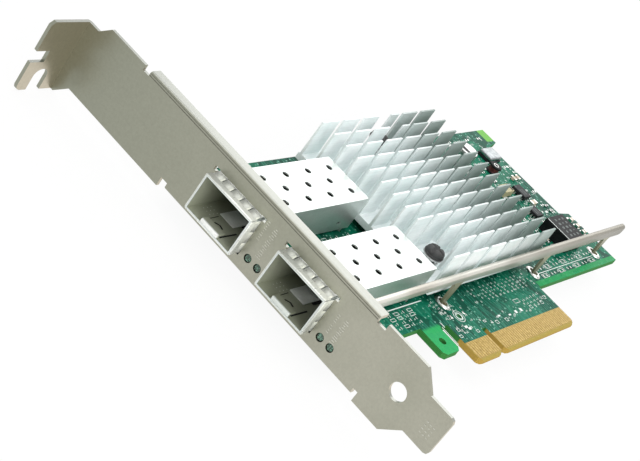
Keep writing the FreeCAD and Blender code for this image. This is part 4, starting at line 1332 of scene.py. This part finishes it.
@dataclass
class StiffenerRail:
    """The board's edge rail: a sheet folded over with a round shoulder, on three tapered legs."""

    plan: BoardPlan
    gauge: float = 0.8
    deep: float = 1.4
    crest: float = 9.2
    shoulder: float = 0.8
    stations: int = 40
    end_rounding: tuple[tuple[float, float], ...] = ((0.45, 0.03), (0.12, 0.14), (0.0, 0.34))
    leg_half: float = 1.3
    legs: tuple[float, ...] = (52.6, 101.7, 140.8)
    drops: tuple[tuple[float, float], ...] = ((0.9, 2.5), (55.0, 2.7), (80.0, 3.3), (120.0, 3.6), (149.2, 3.6))
    foot: float = -2.27
    mound: Profile = ((1.62, 0.0), (1.6, 0.12), (1.5, 0.32), (1.3, 0.46), (1.1, 0.5), (0.94, 0.44), (0.84, 0.28),
                      (0.78, 0.06))
    well: Profile = ((0.8, 0.1), (0.3, 0.07), (0.02, 0.07))

    def drop(self, across: float) -> float:
        """How far the web hangs below the crest.

        Args:
            across: The place along the rail, in board millimetres.

        Returns:
            The depth, in millimetres.
        """
        for (a, low), (b, high) in zip(self.drops, self.drops[1:]):
            if across <= b:
                return low + (high - low) * max(0.0, across - a) / (b - a)
        return self.drops[-1][1]

    def section(self, across: float, shrink: float, face: float) -> list[Vector]:
        """The folded sheet's outline at one place along the rail.

        Args:
            across: The place, in board millimetres.
            shrink: How far the outline draws in, which rounds the end.
            face: Where the sheet's outer face is, along the board.

        Returns:
            The outline's points, in metres.
        """
        low = self.crest - self.drop(across) + shrink
        top, back, curl, gauge = self.crest - shrink, self.deep - shrink, self.shoulder, self.gauge
        points = [(gauge, top - gauge - 0.1), (gauge, low + 0.3), (gauge - 0.2, low + 0.06), (0.45, low),
                  (0.24, low + 0.12), (0.13, low + 0.4), (0.05, low + 0.9)]
        for angle in (math.pi - math.pi / 2 * step / 8 for step in range(9)):
            points.append((curl + curl * math.cos(angle), top - curl + curl * math.sin(angle)))
        points += [(back - 0.16, top), (back, top - 0.14), (back, top - gauge + 0.12), (back - 0.1, top - gauge)]
        return [self.plan.at(across, face + a, b) for a, b in points]

    def build_sheet(self, face: float, end: float) -> None:
        """Makes the folded sheet in place of its node.

        Args:
            face: Where its outer face is, in board millimetres.
            end: Where its far end is.
        """
        maker = Maker("folded_rail")
        places = [(0.9 + (end - 1.9) * i / self.stations, 0.0) for i in range(self.stations + 1)]
        places += [(end - short, shrink) for short, shrink in self.end_rounding]
        rings = [self.section(across, shrink, face) for across, shrink in places]
        maker.rows(rings)
        maker.face(rings[0])
        maker.face(rings[-1])
        piece = maker.finish("zinc_plated_steel", "rail_steel", True)
        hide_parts("stiffener_rail")

    def build_legs(self, face: float) -> None:
        """Makes the legs, with a painted reflection of the board below and painted shade under the rail.

        Args:
            face: Where the sheet's outer face is, in board millimetres.
        """
        maker, half = Maker("rail_legs"), self.leg_half
        for centre in self.legs:
            root = self.crest - self.drop(centre) + 0.5
            side = [(half + 0.9, root), (half + 0.1, root - 1.0), (half, 1.2), (0.8, 0.0), (0.45, 0.0),
                    (0.45, self.foot)]
            outline = [(-a, b) for a, b in side] + side[::-1]
            maker.prism([self.plan.at(centre + a, face + 0.1, b) for a, b in outline], mm(0.0, self.gauge - 0.14),
                        0.07)
        board = self.plan.zero.z
        rising = Fade(Along.Z, board, board + 6.5 * MM, "A9A48C")
        # painted reflection of the board and painted shade from the rail: olive at the foot, lighter up the leg
        RolledSheet("zinc_plate_painted_board_reflection", "77775B", "5D5F47", 0.4, Along.Z, 0.4, 0.006, 0.5, 0.35,
                    rising).material()
        maker.finish("zinc_plate_painted_board_reflection", "rail_steel")

    def build(self) -> None:
        """Makes the rail, its legs and the solder round them."""
        low, high = self.plan.box("stiffener_rail")
        self.build_sheet(low.y, high.x)
        self.build_legs(low.y)
        places = [self.plan.at(centre, low.y + self.gauge / 2) for centre in self.legs]
        # brown, slightly glossy discs in the middle of each joint
        MouldedResin("brown_joint_middle", "5A4A30", "83704B", 0.4, 0.4, 0.01).material()
        piece = turned("rail_solder_fillets", places, (self.mound,), 36, ("tin_solder", "solder"), 1.5)
        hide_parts("rail_solder_joints")
        maker = Maker("rail_joint_wells")
        for place in places:
            maker.lathe(place, self.well, 24, 1.5)
        maker.finish("brown_joint_middle", "solder")


@dataclass
class FinnedCooler:
    """The heat sink's thin sawn fins on their plate."""

    plan: BoardPlan
    plate_rise: float = 3.7
    crest: float = 13.7
    fins: int = 12
    bays: int = 6
    bay: float = 7.4
    saw: float = 2.0
    root: float = 0.8
    tip: float = 0.46
    first_in: float = 0.8
    last_in: float = 0.65
    relief: float = 3.7
    pin_lines: tuple[tuple[float, float], ...] = ((5.9, -79.3), (28.8, -42.0))
    gate_half: float = 3.2
    shortest: float = 0.35

    def spans(self, low: float, high: float, along: float, near: float) -> list[tuple[float, float]]:
        """The parts of one fin's bay that the clearances round the two pins leave.

        Args:
            low: Where the bay starts, in board millimetres.
            high: Where it ends.
            along: The fin's line.
            near: Where the heat sink starts.

        Returns:
            Where each part starts and ends.
        """
        cuts = []
        for across, line in self.pin_lines:
            off = abs(along - line)
            if off < self.relief:
                reach = math.sqrt(self.relief ** 2 - off ** 2)
                cuts.append((near + across - reach, near + across + reach))
        first, line = self.pin_lines[0]
        if abs(along - line) < self.gate_half:
            cuts.append((near - 1.0, near + first))
        left = [(low, high)]
        for a, b in cuts:
            left = [part for x, y in left for part in ((x, min(y, a)), (max(x, b), y))
                    if part[1] - part[0] > self.shortest]
        return left

    def build(self) -> None:
        """Makes the heat sink in place of its node."""
        low, high = self.plan.box("heat_sink")
        maker = Maker("sawn_fin_cooler")
        maker.slab(self.plan.at(*low), self.plan.at(high.x, high.y, self.plate_rise), 0.12, 2)
        pitch = (high.y - low.y - self.first_in - self.last_in) / (self.fins - 1)
        root, tip, foot = self.root / 2, self.tip / 2, self.plate_rise - 0.1
        for row in range(self.fins):
            along = high.y - self.first_in - pitch * row
            for place in range(self.bays):
                start = low.x + place * (self.bay + self.saw)
                for a, b in self.spans(start, start + self.bay, along, low.x):
                    outline = [(-root, foot), (root, foot), (tip, self.crest), (-tip, self.crest)]
                    maker.prism([self.plan.at(a, along + y, z) for y, z in outline], mm(b - a), 0.07)
        piece = maker.finish("clear_anodised_aluminium", "heat_sink_aluminium")
        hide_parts("heat_sink")


@dataclass
class PushPins:
    """Nylon push pins with a four-lobed dome, a flange, a steel washer and a barbed tip."""

    frame: dict[str, Any]
    plan: BoardPlan
    corners: int = 64
    shaft: Profile = ((0.02, -3.17), (0.75, -3.17), (1.0, -2.9), (1.9, -1.9), (1.95, -1.75), (1.85, -1.6),
                      (1.4, -1.57), (1.4, 7.5), (2.3, 7.55), (2.55, 7.6), (2.6, 7.75), (2.55, 7.92), (2.42, 7.95))
    cap: Profile = ((2.42, 7.95), (2.42, 8.3), (2.34, 8.7), (2.12, 9.02), (1.75, 9.2), (1.3, 9.28), (0.8, 9.3),
                    (0.35, 9.3), (0.02, 9.3))
    washer: Profile = ((1.5, 7.1), (2.5, 7.1), (2.6, 7.16), (2.6, 7.3), (2.5, 7.36), (1.5, 7.36))

    def dome(self, maker: Maker, centre: Vector) -> None:
        """Adds the lobed dome with its cross recess.

        Args:
            maker: Where it goes.
            centre: The pin's middle on the board's face, in metres.
        """
        rings = []
        for radius, height in self.cap:
            ring = []
            for angle in turns(self.corners):
                notch = max(0.0, math.cos(4 * angle)) ** 3 * (0.2 if radius > 1.5 else 0.0)
                x, y = (radius - notch) * math.cos(angle), (radius - notch) * math.sin(angle)
                sunk = 0.5 if min(abs(x), abs(y)) < 0.34 and radius < 2.3 else 0.0
                ring.append(centre + mm(x, y, height - sunk))
            rings.append(ring)
        maker.rows(rings)

    def build(self) -> None:
        """Makes both pins in place of their node."""
        middles = [(low + high) / 2 for low, high in solids(self.frame, "push_pins")]
        centres = [Vector((middle.x, middle.y, self.plan.zero.z)) for middle in middles]
        maker = Maker("lobed_push_pins")
        for centre in centres:
            maker.lathe(centre, self.shaft, 40)
            self.dome(maker, centre)
        piece = maker.finish("black_nylon", "pin_nylon", True)
        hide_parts("push_pins")
        turned("push_pin_washers", centres, (self.washer,), 40, ("spring_steel", "spring_steel"))


@dataclass
class Gaskets:
    """The plated spring gasket round each cage's mouth: a rounded collar and thin curved fingers."""

    plan: BoardPlan
    half: float = 7.2
    floor: float = 0.6
    roof: float = 9.85
    skin: float = 0.14
    slit: float = 0.24
    collar: Profile = ((-3.3, -0.02), (-3.36, 0.05), (-3.3, 0.14), (-3.0, 0.17), (-2.4, 0.13), (-1.7, 0.12),
                       (-1.5, 0.13))
    finger: Profile = ((-1.6, 0.12), (-1.1, 0.22), (-0.6, 0.44), (-0.1, 0.58), (0.4, 0.58), (0.9, 0.46),
                       (1.5, 0.24), (2.2, 0.04))
    side_lift: float = 0.3

    def strip(self, maker: Maker, origin: Vector, side: Vector, out: Vector, wide: float, shape: Profile) -> None:
        """Adds one curved strip.

        Args:
            maker: Where it goes.
            origin: Its middle at the mouth plane, on the cage's skin, in metres.
            side: The direction across it.
            out: The direction away from the cage.
            wide: Its width in millimetres.
            shape: Its middle line: place across and lift, in millimetres.
        """
        rings = []
        for across, lift in shape:
            base = origin + mm(across)
            rings.append([base + side * (s * wide / 2 * MM) + out * ((lift + t * self.skin) * MM)
                          for s, t in ((-1, 0), (1, 0), (1, 1), (-1, 1))])
        maker.rows(rings)
        maker.face(rings[0])
        maker.face(rings[-1])

    def build(self) -> None:
        """Makes both gaskets in place of their nodes."""
        flat = [(across, lift * self.side_lift) for across, lift in self.finger]
        tall, wide = self.roof - self.floor, self.half * 2
        y_axis, z_axis = Vector((0.0, 1.0, 0.0)), Vector((0.0, 0.0, 1.0))
        walls = ((0.0, self.roof, y_axis, z_axis, wide, self.finger, 5),
                 (0.0, self.floor, y_axis, -z_axis, wide, self.finger, 0),
                 (-self.half, self.floor + tall / 2, z_axis, -y_axis, tall, flat, 3),
                 (self.half, self.floor + tall / 2, z_axis, y_axis, tall, flat, 3))
        for label in ("upper", "lower"):
            low, high = self.plan.box("module_cage_" + label)
            middle = (low.y + high.y) / 2
            maker = Maker("spring_gasket_" + label)
            for off, rise, side, out, span, shape, count in walls:
                origin = self.plan.at(0, middle + off, rise)
                self.strip(maker, origin, side, out, span + 0.2, self.collar)
                for place in range(count):
                    spot = origin + side * (span * ((place + 0.5) / count - 0.5) * MM)
                    self.strip(maker, spot, side, out, span / count - self.slit, shape)
            piece = maker.finish("plated_spring_bronze", "gasket_bronze", True)
            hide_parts("cage_gasket_" + label)


@dataclass
class CageInsides:
    """What shows through each mouth: the bent latch lip, the floor's spring tongue and the host socket."""

    plan: BoardPlan
    floor: float = 0.92
    half: float = 6.88
    skin_top: float = 9.5
    contacts: int = 10
    contact_row: float = 8.0
    contact_wide: float = 0.32
    slot: tuple[float, float] = (2.5, 3.8)
    stations: tuple[float, ...] = (-3.3, -1.0, 2.0, 6.0, 12.0, 30.6)
    skins: Maker = field(default_factory=partial(Maker, "cage_inner_skins"))
    lips: Maker = field(default_factory=partial(Maker, "cage_latch_lips"))
    slits: Maker = field(default_factory=partial(Maker, "cage_floor_slits"))
    bodies: Maker = field(default_factory=partial(Maker, "host_socket_bodies"))
    gold: Maker = field(default_factory=partial(Maker, "host_socket_contacts"))

    def build_floor(self, zero: Vector) -> None:
        """Adds one cage's inner skin and what is bent up from its floor.

        Args:
            zero: The cage's middle line at the bracket, on the board's face, in metres.
        """
        floor, half, line = self.floor, self.half, self.floor + 0.03
        corners = ((half, self.skin_top), (half, floor), (-half, floor), (-half, self.skin_top))
        self.skins.rows([[zero + mm(a, b, c) for b, c in corners] for a in self.stations], closed=False)
        for maker, low, high, bevel, steps in (
                (self.lips, (-3.55, -2.9, 0.95), (-2.95, 2.45, 1.95), 0.16, 3),
                (self.lips, (4.4, -1.2, floor), (10.6, 3.3, floor + 0.2), 0.18, 3),
                (self.skins, (-2.9, -2.8, floor + 0.2), (-0.5, 2.8, floor + 0.62), 0.1, 1),
                (self.lips, (11.4, -5.6, floor), (13.0, 5.6, floor + 0.2), 0.1, 2)):
            maker.slab(zero + mm(*low), zero + mm(*high), bevel, steps)
        for width, stops in ((0.42, ((-2.2, -2.85), (3.9, -2.95))), (0.9, ((7.4, -1.5), (12.2, -1.7))),
                             (0.5, ((-0.6, 1.5), (0.7, 1.1), (1.3, 0.2), (0.9, -1.0))),
                             (0.2, ((-2.0, 2.6), (3.4, 2.7)))):
            self.slits.ribbon([zero + mm(a, b, line) for a, b in stops], width)
        for place in range(9):
            spot = mm(1.2 + (place % 3) * 1.3, 3.6 + (place // 3) * 1.05, line + 0.03)
            self.lips.disc(zero + spot, 0.13, 8)

    def build_socket(self, low: Vector, high: Vector, middle: float) -> None:
        """Adds one host socket: a moulding round a slot, with contacts above and below.

        Args:
            low: The connector's lowest corner, in board millimetres.
            high: Its highest corner.
            middle: The cage's middle line along the board.
        """
        at, (sill, head) = self.plan.at, self.slot
        sides = [((low.x + 0.05, edge, sill - 0.1), (high.x - 0.05, edge + 0.6, head + 0.1), 0.0, 1)
                 for edge in (low.y, high.y - 0.6)]
        for first, last, bevel, steps in (
                (low, (high.x, high.y, sill), 0.15, 2), ((low.x, low.y, head), high, 0.2, 2), *sides,
                ((low.x + 6.5, low.y + 0.1, sill - 0.1), (high.x - 0.1, high.y - 0.1, head + 0.1), 0.0, 1)):
            self.bodies.slab(at(*first), at(*last), bevel, steps)
        for place in range(self.contacts):
            along = middle + self.contact_row * ((place + 0.5) / self.contacts - 0.5) - self.contact_wide / 2
            for rise, lean in ((sill, 0.28), (head - 0.28, -0.28)):
                bent = [(0.5, 0.0), (3.2, lean), (6.6, 0.0)]
                outline = bent + [(a, b + 0.25) for a, b in bent[::-1]]
                self.gold.prism([at(low.x + a, along, rise + b) for a, b in outline], mm(0.0, self.contact_wide))

    def build(self) -> None:
        """Makes the pieces of both cages."""
        for label in ("upper", "lower"):
            low, high = self.plan.box("module_cage_" + label)
            middle = (low.y + high.y) / 2
            self.build_floor(self.plan.at(0, middle))
            self.build_socket(*self.plan.box("host_connector_" + label), middle)
        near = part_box("module_cage_upper")[0].x
        shade = Fade(Along.X, near, near + 16 * MM, "6C705C")
        for finish in (
                # painted shade: the cage's inner walls go grey-brown with depth
                RolledSheet("unlit_tin_plate", "C9CDB8", "A9AD97", 0.38, Along.X, 0.3, 0.003, 0.6, 0.35, shade),
                # painted highlight: lips and tongues in a lit, whiter copy of the walls' tin plate
                RolledSheet("tin_plate_painted_lit", "F6F8F4", "D6DCD6", 0.35, Along.Y, 0.3, 0.003, 0.8, 0.3),
                # near-black lines for the gaps round the tongues
                MouldedResin("slit_shadow", "0B0D0A", "15170F", 0.7)):
            finish.material()
        self.skins.finish("unlit_tin_plate", "cage_steel")
        self.lips.finish("tin_plate_painted_lit", "cage_steel", True)
        self.slits.finish("slit_shadow", "cage_steel")
        piece = self.bodies.finish("black_lcp", "black_nylon")
        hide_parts("host_connector_upper", "host_connector_lower")
        self.gold.finish("hard_gold_plate", "gold_plate")


@dataclass
class BracketDetail:
    """Painted shade lines at the bend's crease, and plain punched bars beside the lamps, in place of any lettering.
    """

    plan: BoardPlan
    skin: float = 0.03
    crease_span: tuple[float, float] = (-20.9, -94.8)
    creases: tuple[tuple[float, float], ...] = ((14.05, 0.16), (14.62, 0.1))
    rows: tuple[tuple[float, float, float, float], ...] = (
        (-63.2, 6.0, 11.4, 0.8), (-65.3, 3.0, 11.3, 1.4), (-87.6, 3.2, 8.6, 0.8), (-89.5, 2.2, 8.8, 1.4))
    lengths: tuple[float, ...] = (1.0, 0.55, 1.0, 0.8, 0.4)
    bar_wide: float = 0.2

    def bar(self, maker: Maker, along: float, rise: float, long: float) -> None:
        """Adds one raised bar of this length on the bracket's outer face."""
        maker.slab(self.plan.at(-0.07, along - long / 2, rise - self.bar_wide / 2),
                   self.plan.at(0.02, along + long / 2, rise + self.bar_wide / 2), 0.05)

    def build(self) -> None:
        """Makes the crease's painted shade lines and the bars."""
        top, bottom = self.crease_span
        maker = Maker("bend_crease_painted_shade")
        for rise, wide in self.creases:
            maker.face(self.plan.at(-self.skin, a, b) for a, b in (
                (top, rise), (bottom, rise), (bottom, rise + wide), (top, rise + wide)))
        # painted shade: a thin olive-grey line along the bend
        MouldedResin("crease_shadow", "4E4E42", "66665A", 0.5, 0.6, 0.005).material()
        maker.finish("crease_shadow", "nickel_steel")
        maker = Maker("punched_bars")
        for top, first, last, tall in self.rows:
            count = int((last - first) / 0.55)
            for place in range(count):
                rise = first + (last - first) * (place + 0.5) / count
                self.bar(maker, top - tall / 2, rise, tall * self.lengths[place % len(self.lengths)])
        for place in range(12):
            self.bar(maker, -115.9 - place // 4 * 0.95, 3.7 + place % 4 * 0.95, 0.5)
        # paler than the bracket, so that the bars stand out
        PlatedMetal("burnished_nickel", "D2D2C6", "B4B4A6", 0.34, 0.4, 0.004, 0.6).material()
        maker.finish("burnished_nickel", "nickel_steel", True)


@dataclass
class FarParts:
    """The larger parts beyond the heat sink, shaped over their plain solids."""

    drum_flanges: tuple[Profile, ...] = (
        ((0.02, 0.0), (1.8, 0.0), (1.9, 0.1), (1.9, 0.45), (1.8, 0.55), (1.2, 0.56)),
        ((1.2, 1.95), (1.8, 1.96), (1.9, 2.06), (1.9, 2.4), (1.78, 2.5), (0.95, 2.5), (0.85, 2.42), (0.4, 2.42),
         (0.3, 2.5), (0.02, 2.5)))
    drum_ring: Profile = ((0.62, 2.44), (0.66, 2.53), (0.86, 2.53), (0.9, 2.44))
    winds: int = 14
    barrel: Profile = ((3.1, 0.75), (3.15, 0.95), (3.15, 1.2), (2.95, 1.4), (3.15, 1.6), (3.15, 5.05), (3.08, 5.25),
                       (2.9, 5.36), (2.7, 5.4), (0.02, 5.4))
    ink_film: float = 0.015
    seed: int = 5

    def inductor(self) -> None:
        """The square moulded inductor, with a white line painted along its top's near edge as a highlight, and plain
        printed blocks.
        """
        low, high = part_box("power_inductor")
        piece = block("moulded_inductor", low + mm(0.0, 0.0, 0.1), high, 0.28, 3,
                      ("moulded_ferrite", "inductor_ferrite"))
        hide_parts("power_inductor")
        feet = Maker("inductor_terminals")
        for edge in (low.y, high.y - 0.5 * MM):
            feet.slab(Vector((low.x + 2.4 * MM, edge, low.z)),
                      Vector((high.x - 2.4 * MM, edge + 0.5 * MM, low.z + 1.6 * MM)), 0.06)
        feet.finish("tin_solder", "solder", True)
        top = high.z + 0.02 * MM
        # painted highlight: a white line along the top's near edge, where the bevel catches the light
        print_and_highlight = Maker("inductor_edge_painted_highlight")
        print_and_highlight.ribbon([Vector((low.x, low.y, top)) + mm(0.42, 0.4), Vector((low.x, high.y, top)) + mm(0.42, -0.4)],
                     0.3)
        print_and_highlight.finish("white_print_and_painted_highlight", "inductor_ferrite")
        blocks, chance = Maker("inductor_blocks"), random.Random(self.seed)
        for place in range(15):
            spot = Vector((low.x, high.y, top)) + mm(3.0 + place // 5 * 2.2, -1.6 - place % 5 * 1.5)
            wide = chance.choice((0.4, 0.8, 0.8))
            blocks.ribbon([spot, spot + mm(1.2 * chance.uniform(0.6, 1.0))], wide)
        blocks.finish("faint_chip_ink", "inductor_ferrite")

    def oscillator(self) -> None:
        """The clock part: a dark ceramic base under a round-cornered metal lid."""
        low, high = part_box("clock_oscillator")
        block("oscillator_base", low, Vector((high.x, high.y, low.z + 0.7 * MM)), 0.08, 2,
              ("chip_epoxy", "oscillator_lid"))
        piece = block("oscillator_can", low + mm(0.2, 0.2, 0.65), high - mm(0.2, 0.2), 0.42, 5,
                      ("kovar_lid", "oscillator_lid"), True)
        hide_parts("clock_oscillator")

    def drum(self) -> None:
        """The wound drum: two flanges with the winding between them."""
        low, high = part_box("drum_inductor")
        centres = [Vector((low.x, (low.y + high.y) / 2, low.z)) + mm(1.95, 0.5)]
        piece = turned("drum_flanges", centres, self.drum_flanges, 32, ("moulded_ferrite", "drum_ferrite"))
        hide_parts("drum_inductor")
        wire = [(1.62 - 0.06 * (i % 2), 0.56 + 1.4 * i / self.winds) for i in range(self.winds + 1)]
        turned("drum_winding", centres, (wire,), 32, ("enamelled_copper", "drum_ferrite"))
        turned("drum_ring", centres, (self.drum_ring,), 24, ("tin_solder", "drum_ferrite"))

    def can(self) -> None:
        """The electrolytic capacitor: a can with a rolled neck on a moulded foot."""
        low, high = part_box("electrolytic_capacitor")
        centre = Vector(((low.x + high.x) / 2, (low.y + high.y) / 2, low.z))
        piece = turned("capacitor_barrel", [centre], (self.barrel,), 40, ("drawn_aluminium_can", "capacitor_can"))
        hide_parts("electrolytic_capacitor")
        block("capacitor_foot", low, Vector((high.x, high.y, low.z + 0.8 * MM)), 0.2, 2,
              ("chip_epoxy", "capacitor_can"))
        band = Maker("capacitor_polarity")
        sweep = [math.pi * (0.62 + 0.76 * i / 14) for i in range(15)]
        band.face(centre + mm(2.66 * math.cos(a), 2.66 * math.sin(a), 5.42) for a in sweep)
        band.finish("chip_epoxy", "capacitor_can")

    def tantalum(self) -> None:
        """The moulded tantalum part with its polarity bar and folded tabs."""
        low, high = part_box("tantalum_capacitor")
        low, high = low + mm(0.6, 0.7), high - mm(1.1, 0.5, 0.7)
        piece = block("tantalum_moulding", low + mm(0.3, 0.0, 0.12), high - mm(0.3), 0.2, 2,
                      ("tan_epoxy", "tantalum_body"))
        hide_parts("tantalum_capacitor")
        block("tantalum_bar", Vector((high.x, low.y, high.z)) + mm(-1.5, 0.2, -0.05), high + mm(-0.7, -0.2, 0.02),
              0.0, 1, ("chip_epoxy", "tantalum_body"))
        tabs = Maker("tantalum_tabs")
        for edge in (low.x, high.x - 0.35 * MM):
            tabs.slab(Vector((edge, low.y + 0.6 * MM, low.z)),
                      Vector((edge + 0.35 * MM, high.y - 0.6 * MM, low.z + 1.3 * MM)), 0.05)
        tabs.finish("tinned_copper", "lead_tin")

    def chips(self) -> None:
        """The two small moulded chips with an index dimple and two printed bars."""
        print_and_highlight = Maker("chip_index_marks")
        for node in ("regulator_chip", "driver_chip"):
            low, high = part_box(node)
            piece = block(node + "_moulding", low, high, 0.16, 2, ("chip_epoxy", "small_chip_mould"))
            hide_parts(node)
            top = high.z + self.ink_film * MM
            print_and_highlight.disc(Vector((low.x, high.y, top)) + mm(0.65, -0.65), 0.26, 14)
            for across in (1.2, 2.3):
                start = Vector((low.x, low.y, top)) + mm(across, 0.8)
                print_and_highlight.ribbon([start, start + mm(0.0, 2.2)], 0.35)
        print_and_highlight.finish("faint_chip_ink", "small_chip_mould")

    def build(self) -> None:
        """Makes every part."""
        # a dull grey print that barely shows on black
        MouldedResin("faint_chip_ink", "5C6462", "7A8280", 0.6, 0.2, 0.004).material()
        for step in (self.inductor, self.oscillator, self.drum, self.can, self.tantalum, self.chips):
            step()


def main() -> None:
    """Builds the sub-assemblies in order."""
    logging.basicConfig(level=logging.INFO, format="%(message)s")
    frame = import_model()
    Studio().build()
    plan = BoardPlan()
    for group in (MetalWork(frame), Cooler(frame), Populated(frame, plan)):
        group.dress()
    for group in (BoardArt(plan), ChipParts(frame), Coils(frame), StiffenerRail(plan), FinnedCooler(plan),
                  PushPins(frame, plan), Gaskets(plan), CageInsides(plan), BracketDetail(plan), FarParts()):
        group.build()
    LOG.info("boxes written")


if __name__ == "__main__":
    main()
